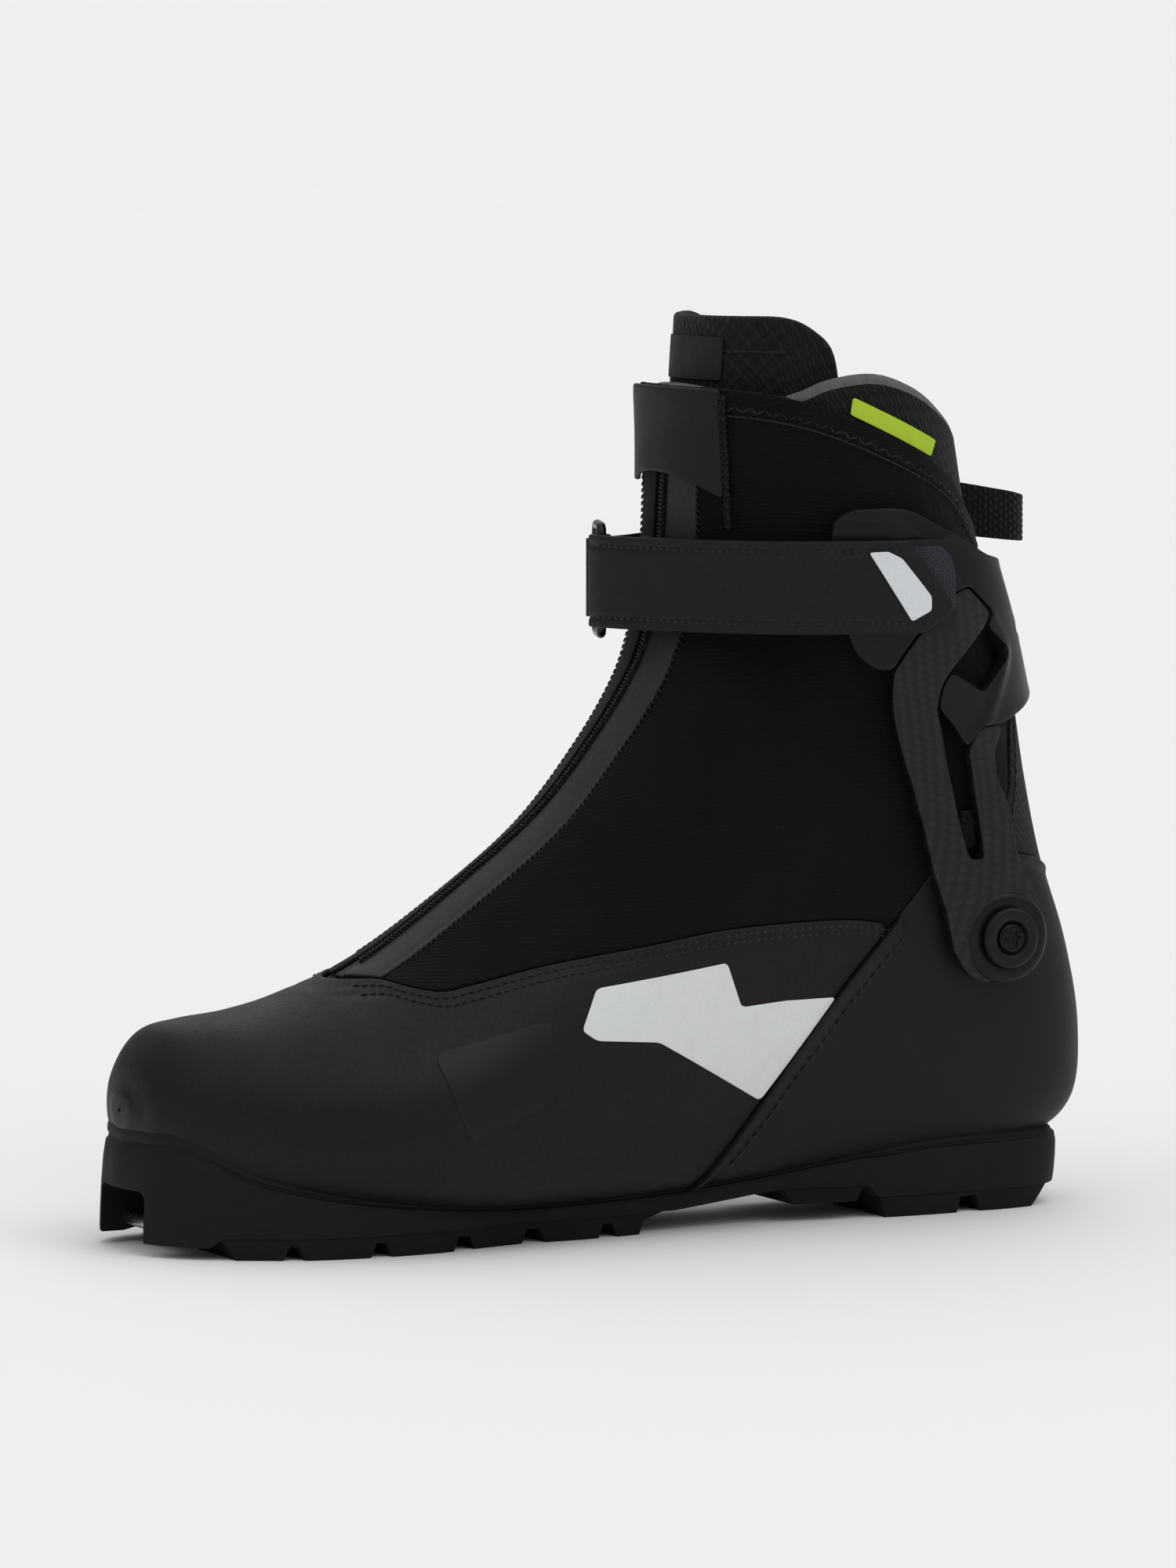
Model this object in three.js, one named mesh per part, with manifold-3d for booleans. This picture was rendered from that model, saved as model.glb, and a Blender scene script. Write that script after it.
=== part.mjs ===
// Cross country skate ski boot, left foot: low shoe, zipped gaiter and a hinged ankle cuff.
// Millimetres. +X to the toe, +Y to the wearer's left (outer side), +Z up, sole on Z = 0.
import * as THREE from "three";
import { mergeVertices } from "three/addons/utils/BufferGeometryUtils.js";
import Module from "manifold-3d";

const wasm = await Module();
wasm.setup();

// ---- driving dimensions -------------------------------------------------------------------
// Sections of the boot's outer surface. Each one is a slanted oval between a bottom or back
// point B and a top or front point T: Bx, Bz, Tx, Tz, half widths at B, middle and T,
// centre offset in Y, and the roundness of the lower and the upper half.
const STATIONS = [
  [140.5, 33, 141, 46, 8, 9, 7, -9, 2.4, 2.4],
  [138, 28, 138.5, 54, 17, 18, 14, -9, 2.8, 2.5],
  [132, 23, 132, 62, 26, 26, 21, -8, 3.2, 2.5],
  [122, 19, 122, 64.6, 34, 33, 27, -6, 3.4, 2.4],
  [105, 15, 108, 66.8, 43, 42, 33, -3, 3.6, 2.2],
  [84, 12, 92, 71.6, 47.5, 47, 37, 0, 3.6, 2.1],
  [60, 10, 70, 82, 49, 48, 36, 2, 3.6, 2.0],
  [34, 9, 45, 99, 47, 46, 36, 3, 3.6, 2.0],
  [6, 9, 18, 120, 42, 45, 38, 3, 3.8, 2.0],
  [-26, 11, -1, 142, 37, 44, 40, 3, 4.0, 2.1],
  [-60, 14, -13, 160, 35, 43, 41, 2, 4.2, 2.2],
  [-95, 17, -18, 173, 35, 42, 42, 1, 4.2, 2.3],
  [-131, 18.5, -20, 183, 35, 42, 42, 0, 3.8, 2.3],
  [-149.5, 27.5, -21, 191, 37, 42, 42, 0, 3.2, 2.3],
  [-153, 48, -21.5, 198, 39, 42, 42, 0, 2.8, 2.3],
  [-149.5, 72, -22, 205, 40, 43, 42, 0, 2.5, 2.3],
  [-141, 97, -22.3, 211, 40, 44, 42, 0, 2.5, 2.3],
  [-135, 122, -22.6, 217, 41, 45, 42, 0, 2.5, 2.3],
  [-130.5, 146, -22.8, 223, 42, 46, 42, 0, 2.5, 2.3],
  [-124.5, 168, -23, 229, 44, 47, 42, 0, 2.5, 2.3],
  [-118, 188, -23, 235, 45, 47, 42, 0, 2.5, 2.3],
  [-114.5, 206, -23, 242, 45, 47, 42, 0, 2.5, 2.3],
  [-111.5, 224, -24, 258, 44, 46, 41, 0, 2.5, 2.3],
  [-108, 240, -25, 272, 44, 46, 41, 0, 2.5, 2.3],
];
const RING_POINTS = 24;
const HALF_STEP_FROM = 9;
const HALF_STEP_TO = 15;

const GAP = 0.3;
const SKIN = 1.6;
const LINING_OUT = 1.9;
const LINING_IN = 5;
const COLLAR_IN = 8;
const TONGUE_OUT = 8.4;
const TONGUE_IN = 11.6;
const CUFF_IN = 2;
const CUFF_OUT = 5.4;

const PIVOT_X = -112;
const PIVOT_Z = 82;
const BOSS_R = 13.3;
const BUSH_R = 6.95;
const BOSS_FACE = 46.4;
const CAP_R = 10.4;

const TOE_Y = -8;
const RECESS_HALF = 14.5;
const BAR_R = 1.8;
const BAR_X = 134;
const BAR_Z = 7;
const BAR_HALF = RECESS_HALF + 3;
const SOLE_BAND = [-5, 60];
const GROOVE = [-2, 4.6];

const STRAP_LOW = 171.5;
const STRAP_HIGH = 198;
const BAR1 = [-8.2, -8];
const BAR2 = [-13.5, -22];
const WIRE_R = 1.4;
const WIRE_GAP = 0.3;
const STRAP_OFF_CUFF = CUFF_OUT + 0.25;
const HOLDER_INSET = 2;
const RING_OVER = 2.2;

// ---- outlines in the side view, X and Z -----------------------------------------------------
const VAMP_TOP = [[86, 75.5], [75, 76.5], [70, 75], [62, 73.6], [53, 75.5], [32, 80.5], [3, 85],
  [-23, 88.5], [-60, 89.2], [-77, 87]];
const HEEL_EDGE = [[-77, 87], [-60, 69], [-49, 56], [-40, 45], [-24, 22], [-8, -10]];
const HEEL_TOP = [[-90, 102], [-110, 106], [-126, 104], [-140, 99], [-175, 92]];
const GAITER_TOP = [[30, 246], [-20, 241.5], [-27, 241], [-43, 238.5], [-61, 232.5], [-85, 221.5],
  [-97, 213.5], [-106, 203], [-120, 195], [-150, 190]];
const COLLAR_RIM = [[-36, 237], [-46, 240], [-55, 243.5], [-68, 245], [-79, 243], [-91, 238],
  [-107, 228], [-119, 218], [-150, 208]];
const TONGUE_RIM = [[0, 262], [-30, 261.5], [-43, 260.5], [-52, 256.5], [-58, 251], [-61, 240]];
const RAND = [[160, 34], [145, 34], [136, 34.5], [130, 32], [123, 27], [115, 23], [100, 19],
  [85, 16], [70, 14], [50, 11.5], [35, 10.5], [-10, 11.5], [-45, 14.5], [-71, 18.5], [-97, 22],
  [-147, 23], [-160, 23]];
const WINDOW = [[-102, 172], [-110, 165], [-110, 162], [-102, 153], [-91, 160]];
const CUFF_EDGE = [[-55.5, 199], [-56, 204.5], [-60, 207], [-72, 207], [-77, 206], [-84, 202],
  [-93, 197], [-103, 191.5], [-118, 187.5], [-160, 185.5], [-160, 172], [-119, 171.5],
  [-116.5, 168.5], [-121, 166.5], [-160, 167.3], [-160, 156.5], [-131, 153], [-118, 147],
  [-109, 143.8], [-101, 143.4], [-97.1, 137.4], [-92, 145], [-87.7, 149.4], [-88.9, 156],
  [-91.5, 159.7], [-102, 153], [-110, 162], [-110, 165], [-102.4, 172.2], [-104.2, 175.8], [-95, 184.4],
  [-90, 181.8], [-85.4, 175], [-80.4, 171.4], [-76.4, 165.8], [-73.5, 160.8], [-69, 161.5],
  [-64, 165.5], [-61.5, 171], [-57, 185]];
const FRAME_EDGE = [[-95, 183.9], [-90.4, 181.3], [-86, 174.5], [-81, 171], [-77, 165.5],
  [-74, 160.4], [-74.3, 150], [-76, 142], [-80, 128], [-84, 114], [-87, 103], [-92, 90],
  [-94.5, 79], [-99, 72.5], [-105, 69.3], [-112, 72], [-125, 83], [-120, 96], [-114.5, 106],
  [-111, 120], [-107, 128], [-106, 136], [-109, 143.4], [-101, 143], [-97.5, 137],
  [-99.5, 127], [-102.5, 113], [-104, 105], [-99.5, 105], [-98, 108], [-93, 127], [-91, 134],
  [-89, 143], [-87.2, 149.2], [-88.4, 156], [-91, 160.2], [-102, 172.5], [-103.8, 175.6]];

// ---- helpers ----------------------------------------------------------------------------------
const group = new THREE.Group();

function stationAt(k) {
  const n = STATIONS.length;
  const t = Math.min(Math.max(k, 0), n - 1);
  const i = Math.min(Math.floor(t), n - 2);
  const f = t - i;
  const row = (j) => STATIONS[Math.min(Math.max(j, 0), n - 1)];
  const [p0, p1, p2, p3] = [row(i - 1), row(i), row(i + 1), row(i + 2)];
  return p1.map((_, c) => 0.5 * (2 * p1[c] + (p2[c] - p0[c]) * f
    + (2 * p0[c] - 5 * p1[c] + 4 * p2[c] - p3[c]) * f * f
    + (3 * p1[c] - p0[c] - 3 * p2[c] + p3[c]) * f * f * f));
}

function halfWidth(st, v) {
  return st[4] * (1 - v) * (1 - 2 * v) + 4 * st[5] * v * (1 - v) + st[6] * v * (2 * v - 1);
}

function surfacePoint(k, angle) {
  const st = stationAt(k);
  const c = Math.cos(angle);
  const s = Math.sin(angle);
  const p = c > 0 ? st[8] : st[9];
  const r = (Math.abs(c) ** p + Math.abs(s) ** p) ** (-1 / p);
  const v = (1 - r * c) / 2;
  return new THREE.Vector3(st[0] + (st[2] - st[0]) * v, st[7] + halfWidth(st, v) * r * s,
    st[1] + (st[3] - st[1]) * v);
}

function offsetPoint(k, angle, d) {
  const e = 0.02;
  const top = STATIONS.length - 1;
  const a = surfacePoint(Math.min(k + e, top), angle).sub(surfacePoint(Math.max(k - e, 0), angle));
  const b = surfacePoint(k, angle + e).sub(surfacePoint(k, angle - e));
  const n = a.cross(b).normalize();
  return surfacePoint(k, angle).addScaledVector(n, d);
}

// Outer side position of the surface at a side-view point, on the +Y (side = 1) or -Y side.
function sideY(x, z, side) {
  let best = null;
  for (let k = 0; k < STATIONS.length - 1.001; k += 0.02) {
    const st = stationAt(k);
    const [ux, uz] = [st[2] - st[0], st[3] - st[1]];
    const len = Math.hypot(ux, uz);
    const off = Math.abs((x - st[0]) * uz - (z - st[1]) * ux) / len;
    const v = ((x - st[0]) * ux + (z - st[1]) * uz) / (len * len);
    if (v > 0 && v < 1 && (!best || off < best.off)) {
      const p = v < 0.5 ? st[8] : st[9];
      const b = (1 - Math.abs(2 * v - 1) ** p) ** (1 / p);
      best = { off, y: st[7] + side * halfWidth(st, v) * b };
    }
  }
  return best.y;
}

function meshGeometry(points, faces) {
  const g = new THREE.BufferGeometry();
  g.setAttribute("position", new THREE.Float32BufferAttribute(points.flatMap((p) => [...p]), 3));
  g.setIndex(faces.flat());
  return g;
}

// Closed solid inside the boot surface moved outwards by d, from section `from` to the last.
function lastSolid(d, from = 0) {
  const rows = [];
  for (let k = from; k < STATIONS.length - 0.01;) {
    rows.push(k);
    k += k >= HALF_STEP_FROM && k < HALF_STEP_TO ? 0.5 : 1;
    if (k > STATIONS.length - 1 && rows[rows.length - 1] < STATIONS.length - 1) k = STATIONS.length - 1;
  }
  const points = [];
  rows.forEach((k) => {
    for (let j = 0; j < RING_POINTS; j += 1) {
      points.push(offsetPoint(k, (2 * Math.PI * j) / RING_POINTS, d));
    }
  });
  const faces = [];
  const at = (i, j) => i * RING_POINTS + (j % RING_POINTS);
  for (let i = 0; i < rows.length - 1; i += 1) {
    for (let j = 0; j < RING_POINTS; j += 1) {
      faces.push([at(i, j), at(i + 1, j), at(i + 1, j + 1)], [at(i, j), at(i + 1, j + 1), at(i, j + 1)]);
    }
  }
  [0, rows.length - 1].forEach((i) => {
    const c = new THREE.Vector3();
    for (let j = 0; j < RING_POINTS; j += 1) c.add(points[at(i, j)]);
    points.push(c.divideScalar(RING_POINTS));
    const m = points.length - 1;
    for (let j = 0; j < RING_POINTS; j += 1) {
      faces.push(i === 0 ? [m, at(i, j), at(i, j + 1)] : [m, at(i, j + 1), at(i, j)]);
    }
  });
  return solid(meshGeometry(points.map((p) => p.toArray()), faces));
}

function solid(geometry) {
  const g = geometry.clone();
  Object.keys(g.attributes).filter((n) => n !== "position").forEach((n) => g.deleteAttribute(n));
  const m = mergeVertices(g, 1e-4);
  return new wasm.Manifold(new wasm.Mesh({
    numProp: 3,
    vertProperties: new Float32Array(m.attributes.position.array),
    triVerts: new Uint32Array(m.index.array),
  }));
}

const shapeOf = (pts) => new THREE.Shape(pts.map(([a, b]) => new THREE.Vector2(a, b)));

// Side-view outline pushed through the boot from y0 to y1.
function prism(pts, y0 = -90, y1 = 90) {
  const g = new THREE.ExtrudeGeometry(shapeOf(pts), { depth: y1 - y0, bevelEnabled: false });
  g.translate(0, 0, -y1);
  g.rotateX(Math.PI / 2);
  return solid(g);
}

// Plan outline raised from z0 to z1.
function slab(pts, z0, z1) {
  const g = new THREE.ExtrudeGeometry(shapeOf(pts), { depth: z1 - z0, bevelEnabled: false });
  g.translate(0, 0, z0);
  return solid(g);
}

function box(x0, x1, y0, y1, z0, z1) {
  const g = new THREE.BoxGeometry(x1 - x0, y1 - y0, z1 - z0);
  g.translate((x0 + x1) / 2, (y0 + y1) / 2, (z0 + z1) / 2);
  return solid(g);
}

function rodY(r, x, z, y0, y1, seg = 32) {
  const g = new THREE.CylinderGeometry(r, r, y1 - y0, seg);
  g.translate(x, (y0 + y1) / 2, z);
  return solid(g);
}

function grow(pts, d) {
  const n = pts.length;
  const area = pts.reduce((s, p, i) => s + p[0] * pts[(i + 1) % n][1] - p[1] * pts[(i + 1) % n][0], 0);
  const sign = area > 0 ? 1 : -1;
  return pts.map((p, i) => {
    const a = pts[(i + n - 1) % n];
    const b = pts[(i + 1) % n];
    const u = new THREE.Vector2(p[0] - a[0], p[1] - a[1]).normalize();
    const w = new THREE.Vector2(b[0] - p[0], b[1] - p[1]).normalize();
    const m = new THREE.Vector2(u.y + w.y, -u.x - w.x);
    const k = d / Math.max(0.5, 1 + u.dot(w)) * sign;
    return [p[0] + m.x * k, p[1] + m.y * k];
  });
}

const shift = (pts, dx, dz) => pts.map(([x, z]) => [x + dx, z + dz]);

function add(name, body, color, roughness, metalness = 0) {
  const mesh = body.getMesh();
  const g = new THREE.BufferGeometry();
  g.setAttribute("position", new THREE.BufferAttribute(new Float32Array(mesh.vertProperties), 3));
  g.setIndex(new THREE.BufferAttribute(new Uint32Array(mesh.triVerts), 1));
  g.computeVertexNormals();
  const material = new THREE.MeshStandardMaterial({ color, roughness, metalness });
  const node = new THREE.Mesh(g, material);
  node.name = name;
  group.add(node);
}

// A wall of thickness t standing on a plan-view curve from z0 to z1, on the curve's inner side.
// The wall's outer face is moved out from the curve by `out`.
function wall(curve, t, z0, z1, out = 0) {
  const pts = curve.map(([x, y]) => new THREE.Vector2(x, y));
  const line = new THREE.SplineCurve(pts).getPoints(3 * (pts.length - 1));
  const moved = (h) => line.map((p, i) => {
    const a = line[Math.max(i - 1, 0)];
    const b = line[Math.min(i + 1, line.length - 1)];
    const d = b.clone().sub(a).normalize();
    return [p.x + d.y * h, p.y - d.x * h];
  });
  return slab([...moved(-out), ...moved(t - out).reverse()], z0, z1);
}

const mirrorY = (pts) => pts.map(([x, y]) => [x, -y]);

const cutAll = (body, tools) => tools.reduce((left, tool) => left.subtract(tool), body);

function circle([cx, cy], r, n) {
  return Array.from({ length: n }, (_, i) => {
    const a = (2 * Math.PI * i) / n;
    return [cx + r * Math.cos(a), cy + r * Math.sin(a)];
  });
}

// ---- boot surfaces ----------------------------------------------------------------------------
const surface = {
  cupHole: lastSolid(0.35),
  out: lastSolid(0),
  skin: lastSolid(-SKIN),
  liningOut: lastSolid(-LINING_OUT, 1),
  liningIn: lastSolid(-LINING_IN, 2),
  boardFit: lastSolid(-LINING_IN - GAP, 2),
  collarIn: lastSolid(-COLLAR_IN, 6),
  tongueOut: lastSolid(-TONGUE_OUT, 6),
  tongueIn: lastSolid(-TONGUE_IN, 6),
  cuffIn: lastSolid(CUFF_IN, 6),
  cuffOut: lastSolid(CUFF_OUT, 6),
  panelOut: lastSolid(0.5, 2),
  panelIn: lastSolid(0.15, 2),
  tabIn: lastSolid(0.3, 6),
  tabOut: lastSolid(2.2, 6),
};
const skinShell = surface.out.subtract(surface.skin);
const lateralHalf = box(-200, 200, 0, 90, -20, 320);
const medialHalf = box(-200, 200, -90, 0, -20, 320);

// ---- sole -------------------------------------------------------------------------------------
const soleXs = [128, 120, 108, 95, 80, 62, 45, 25, 5, -20, -45, -70, -95, -115, -128, -138];
const randZ = (x) => {
  const i = RAND.findIndex((p, k) => k + 1 < RAND.length && RAND[k + 1][0] <= x);
  const [a, b] = [RAND[i], RAND[i + 1]];
  return a[1] + ((x - a[0]) / (b[0] - a[0])) * (b[1] - a[1]);
};
const soleRise = (x) => (x > 90 ? 2 : 6);
const soleEdge = (side) => soleXs.map((x) => [x, sideY(x, randZ(x) + soleRise(x), side) + side * 1.2]);
const soleOutline = [[144, 4.5], [138.5, 12], [133, 17], ...soleEdge(1), [-146, 21], [-148.5, 10],
  [-148.5, -10], [-146, -21], ...soleEdge(-1).reverse(), [133, -33.5], [138.5, -28.5], [144, -21]];
const FRAME_LOW = 6;
const frameSide = [...RAND.slice(1, -1), [-149, 23], [-149, 19], [-144, 13], [-141, FRAME_LOW],
  [-80, FRAME_LOW], [-76, 9.5], [-50, 10], [-14, FRAME_LOW], [126, FRAME_LOW], [128.5, 3.5], [139, 3.5],
  [143, 18], [145.5, 25]];
const recess = box(126, 150, TOE_Y - RECESS_HALF, TOE_Y + RECESS_HALF, -5, 18);
const barHoleHalf = BAR_HALF + 0.2;
const barHole = rodY(BAR_R + GAP, BAR_X, BAR_Z, TOE_Y - barHoleHalf, TOE_Y + barHoleHalf, 24);
const planSolid = slab(soleOutline, ...SOLE_BAND);
const soleFrame = prism(frameSide).intersect(planSolid).subtract(surface.cupHole).subtract(recess)
  .subtract(barHole);
add("outsole_frame", soleFrame, 0x1d1d1e, 0.75);

const treadPlan = slab(grow(soleOutline, -0.8), ...SOLE_BAND);
const TREAD_TOP = FRAME_LOW - GAP;
const foreLugs = [[124, 108.5], [106.5, 84], [81.5, 57.5], [54, 33.5], [30, 9], [6.5, -5]];
const foreSide = [[126, TREAD_TOP]];
const lugSide = (x0, x1) => [[x0 - 0.2, 4], [x0 - 2, 0], [x1 + 2, 0], [x1 + 0.2, 4]];
foreLugs.forEach(([x0, x1]) => foreSide.push(...lugSide(x0, x1)));
foreSide.push([-13, TREAD_TOP]);
const grooves = (ys, half, x0, x1) => ys.map((y) => box(x0, x1, y - half, y + half, ...GROOVE));
const foreTread = prism(foreSide).intersect(treadPlan);
add("forefoot_tread", cutAll(foreTread, grooves([-14, 8], 4, -20, 104)), 0x161617, 0.85);

const heelSide = [[-81, TREAD_TOP], [-83, 0], [-106.5, 0], [-108, 4.6], [-113, 4.6], [-115, 0],
  [-133, 0], [-140, TREAD_TOP]];
const heelTread = prism(heelSide).intersect(treadPlan);
add("heel_tread", cutAll(heelTread, grooves([-10, 10], 3, -145, -75)), 0x161617, 0.85);

const shankLug = prism([[-51, 9.7], [-54, 5.2], [-74, 5.2], [-75.5, 9.2]]).intersect(treadPlan);
add("shank_pad", shankLug, 0x161617, 0.85);

const toeBar = rodY(BAR_R, BAR_X, BAR_Z, TOE_Y - BAR_HALF, TOE_Y + BAR_HALF, 24);
add("toe_bar", toeBar, 0xb8bcc0, 0.25, 1);

// ---- shoe upper ---------------------------------------------------------------------------------
const HALF = GAP / 2;
const vampRegion = [[170, -20], [170, 75.5], ...shift(VAMP_TOP, 0, -HALF),
  ...shift(HEEL_EDGE.slice(1), HALF, 0), [-8, -20]];
const heelRegion = [...shift(HEEL_EDGE, -HALF, 0).reverse(), ...shift(HEEL_TOP, 0, -HALF),
  [-175, -20], [-9, -20]];
add("vamp_shell", skinShell.intersect(prism(vampRegion)), 0x202021, 0.6);
add("heel_shell", skinShell.intersect(prism(heelRegion)), 0x222223, 0.5);

const whiteShape = [[20, 73.5], [-21, 79], [-26, 66], [-41, 67], [-58.5, 67.5], [-34, 38.5], [1, 57.5],
  [21, 59], [25.5, 62]];
const panelShell = surface.panelOut.subtract(surface.panelIn);
const onSide = (pts, y0 = 10) => panelShell.intersect(prism(pts, y0, 90));
add("white_panel", onSide(whiteShape), 0xf2f4f5, 0.35);
const glossShape = [[70, 57], [34, 65.5], [38, 41], [62, 33]];
add("gloss_panel", onSide(glossShape), 0x2c2c2e, 0.2);

// ---- gaiter with its zip ---------------------------------------------------------------------
const BACKSTAY_TOP = 160;
const gaiterRegion = [...shift(VAMP_TOP, 0, HALF), ...shift(HEEL_TOP, 0, HALF), [-175, 188],
  ...GAITER_TOP.slice().reverse(), [110, 246], [110, 75.5]];
const backstayRegion = [[-175, 92.5], ...shift(HEEL_TOP.slice(1, 4), 0, HALF + 0.05).reverse(), [-118, 125],
  [-121, BACKSTAY_TOP], [-175, BACKSTAY_TOP]];
const frontBand = [];
for (let k = 5; k <= 21; k += 1) frontBand.push([STATIONS[k][2] + 30, STATIONS[k][3] + 8]);
for (let k = 21; k >= 5; k -= 1) frontBand.push([STATIONS[k][2] - 12, STATIONS[k][3] - 10]);
const bandSolid = (y0, y1) => prism(frontBand, y0, y1);
const TAPE_IN = 3.2;
const TAPE_OUT = 15.5;
const ZIP_Y = 2;
const gaiterShell = skinShell.intersect(prism(gaiterRegion));
const gaiterCloth = gaiterShell.subtract(prism(grow(backstayRegion, GAP)))
  .subtract(bandSolid(ZIP_Y - TAPE_OUT - GAP, ZIP_Y + TAPE_OUT + GAP));
add("gaiter_lateral", gaiterCloth.intersect(lateralHalf.translate([0, HALF, 0])), 0x121212, 0.9);
add("gaiter_medial", gaiterCloth.intersect(medialHalf.translate([0, -HALF, 0])), 0x121212, 0.9);
add("backstay", gaiterShell.intersect(prism(backstayRegion)), 0x19191a, 0.85);
const bandPart = (y0, y1) => gaiterShell.intersect(bandSolid(ZIP_Y + y0, ZIP_Y + y1));
add("zip_tape_lateral", bandPart(TAPE_IN, TAPE_OUT), 0x2b2b2d, 0.55);
add("zip_tape_medial", bandPart(-TAPE_OUT, -TAPE_IN), 0x2b2b2d, 0.55);
add("zip_coil", bandPart(-TAPE_IN + GAP, TAPE_IN - GAP), 0x0c0c0c, 0.5);

// ---- inside -------------------------------------------------------------------------------------
const SPLIT = 52 * (Math.PI / 180);
const WEDGE = 14 * (Math.PI / 180);
const ray = (a, r) => [PIVOT_X + r * Math.cos(a), PIVOT_Z + r * Math.sin(a)];
const footZone = [ray(SPLIT - WEDGE, 24), ray(SPLIT - WEDGE, 260), [260, 60], [260, -40], [-200, -40],
  [-200, 84], ray(Math.PI - 0.1, 30)];
const collarZone = [ray(SPLIT, 30), ray(SPLIT, 190), [0, 250], ...COLLAR_RIM, [-180, 112], ray(2.2, 34)];
const liningShell = surface.liningOut.subtract(surface.liningIn);
add("foot_lining", liningShell.intersect(prism(footZone)), 0x2e2e31, 0.9);

const bottomLine = (h) => {
  const line = STATIONS.slice(1, 12).map((s) => [s[0], s[1] + h]);
  return [[170, 33 + h], ...line, [-135, 19 + h], [-170, 19 + h], [-170, -20], [170, -20]];
};
add("insole_board", surface.boardFit.intersect(prism(bottomLine(7.3))), 0x6b6459, 0.9);
add("footbed", surface.boardFit.intersect(prism(bottomLine(11.4)))
  .subtract(prism(bottomLine(7.6))), 0x3a3b3f, 0.95);

const tongueZone = [[58, 84], [24, 108], [2, 128], [-20, 148], [-36, 168], [-48, 195], [-59, 225],
  ...TONGUE_RIM.slice().reverse(), [10, 262], [10, 160], [50, 120], [90, 95]];
const tongueShell = surface.tongueOut.subtract(surface.tongueIn);
add("tongue", tongueShell.intersect(prism(tongueZone)), 0x1b1b1c, 0.9);

// ---- padded collar of the cuff ------------------------------------------------------------------
const collarShell = surface.liningOut.subtract(surface.collarIn);
add("collar_padding", collarShell.intersect(prism(collarZone)), 0x202022, 0.9);

// ---- cuff -----------------------------------------------------------------------------------------
const cuffShell = surface.cuffOut.subtract(surface.cuffIn);
add("cuff_shell", cuffShell.intersect(prism(CUFF_EDGE)), 0x232324, 0.4);
[[1, "lateral"], [-1, "medial"]].forEach(([side, label]) => {
  const rod = (r, y0, y1, seg = 48) => (side > 0 ? rodY(r, PIVOT_X, PIVOT_Z, y0, y1, seg)
    : rodY(r, PIVOT_X, PIVOT_Z, -y1, -y0, seg));
  const half = side > 0 ? lateralHalf : medialHalf;
  const boss = rod(BOSS_R, 30, BOSS_FACE).subtract(surface.cuffIn);
  const arm = cuffShell.intersect(prism(FRAME_EDGE)).intersect(half);
  add(`carbon_frame_${label}`, arm.add(boss).subtract(rod(BUSH_R + 0.1, 20, 60)), 0x1c1c1d, 0.35);
  const bush = rod(BUSH_R, 30, BOSS_FACE + GAP).subtract(surface.cupHole)
    .add(rod(3, BOSS_FACE, BOSS_FACE + 0.6));
  add(`pivot_bushing_${label}`, bush, 0x8d9094, 0.35, 1);
  const cap = rod(CAP_R, BOSS_FACE + 0.6 + GAP, BOSS_FACE + 2.6)
    .subtract(rod(5, BOSS_FACE + 1.6, BOSS_FACE + 3));
  add(`pivot_cap_${label}`, cap, 0x29292a, 0.35);
  const screw = rod(4.6, BOSS_FACE + 1.6 + GAP, BOSS_FACE + 2.8, 36)
    .subtract(rod(1.7, BOSS_FACE + 2.1, BOSS_FACE + 4, 6));
  add(`pivot_screw_${label}`, screw, 0x303133, 0.3, 1);
});

// ---- closure strap --------------------------------------------------------------------------------
const BASE_CURVE = [[-90, 54.6], [-74, 54.2], [-56, 50.2], [-41, 44], [-29, 34.5], [-20, 22.5], [-13.4, 6]];
const TAIL_CURVE = [[-90, 57.9], [-74, 57.5], [-56, 53.4], [-40, 46.7], [-27.5, 36.6], [-18, 24.4], [-9.6, 8],
  [-5.7, -2.2], [-4.72, -8]];
const TAIL_T = 1.8;
const BASE_T = 1.3;
const cuffRoom = lastSolid(STRAP_OFF_CUFF, 6);
const base = wall(BASE_CURVE, BASE_T, STRAP_LOW, STRAP_HIGH).subtract(cuffRoom);
add("strap_base", base, 0x1f1f20, 0.6);
const anchorCurve = mirrorY([...BASE_CURVE.slice(0, 5), [-19.5, 28.5], [-15, 24]]).reverse();
const holder = [STRAP_LOW + HOLDER_INSET, STRAP_HIGH - HOLDER_INSET];
const holderEye = slab(circle(BAR2, WIRE_R + 1.7, 20), ...holder);
const eyeHole = slab(circle(BAR2, WIRE_R + 0.25, 20), STRAP_LOW - 5, STRAP_HIGH + 5);
const anchor = wall(anchorCurve, BASE_T, ...holder).subtract(cuffRoom).add(holderEye)
  .subtract(eyeHole);
add("strap_anchor", anchor, 0x1f1f20, 0.6);

const RING_LOW = STRAP_LOW - RING_OVER;
const RING_HIGH = STRAP_HIGH + RING_OVER;
const post = (c) => slab(circle(c, WIRE_R, 16), RING_LOW - WIRE_R, RING_HIGH + WIRE_R);
const along = new THREE.Vector2(BAR2[0] - BAR1[0], BAR2[1] - BAR1[1]);
const ringEnd = (z) => {
  const g = new THREE.BoxGeometry(along.length(), 2 * WIRE_R * 0.9, 2 * WIRE_R);
  g.rotateZ(along.angle());
  g.translate((BAR1[0] + BAR2[0]) / 2, (BAR1[1] + BAR2[1]) / 2, z);
  return solid(g);
};
const ring = post(BAR1).add(post(BAR2)).add(ringEnd(RING_LOW)).add(ringEnd(RING_HIGH));
add("strap_ring", ring, 0x2a2b2d, 0.3, 1);

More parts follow.
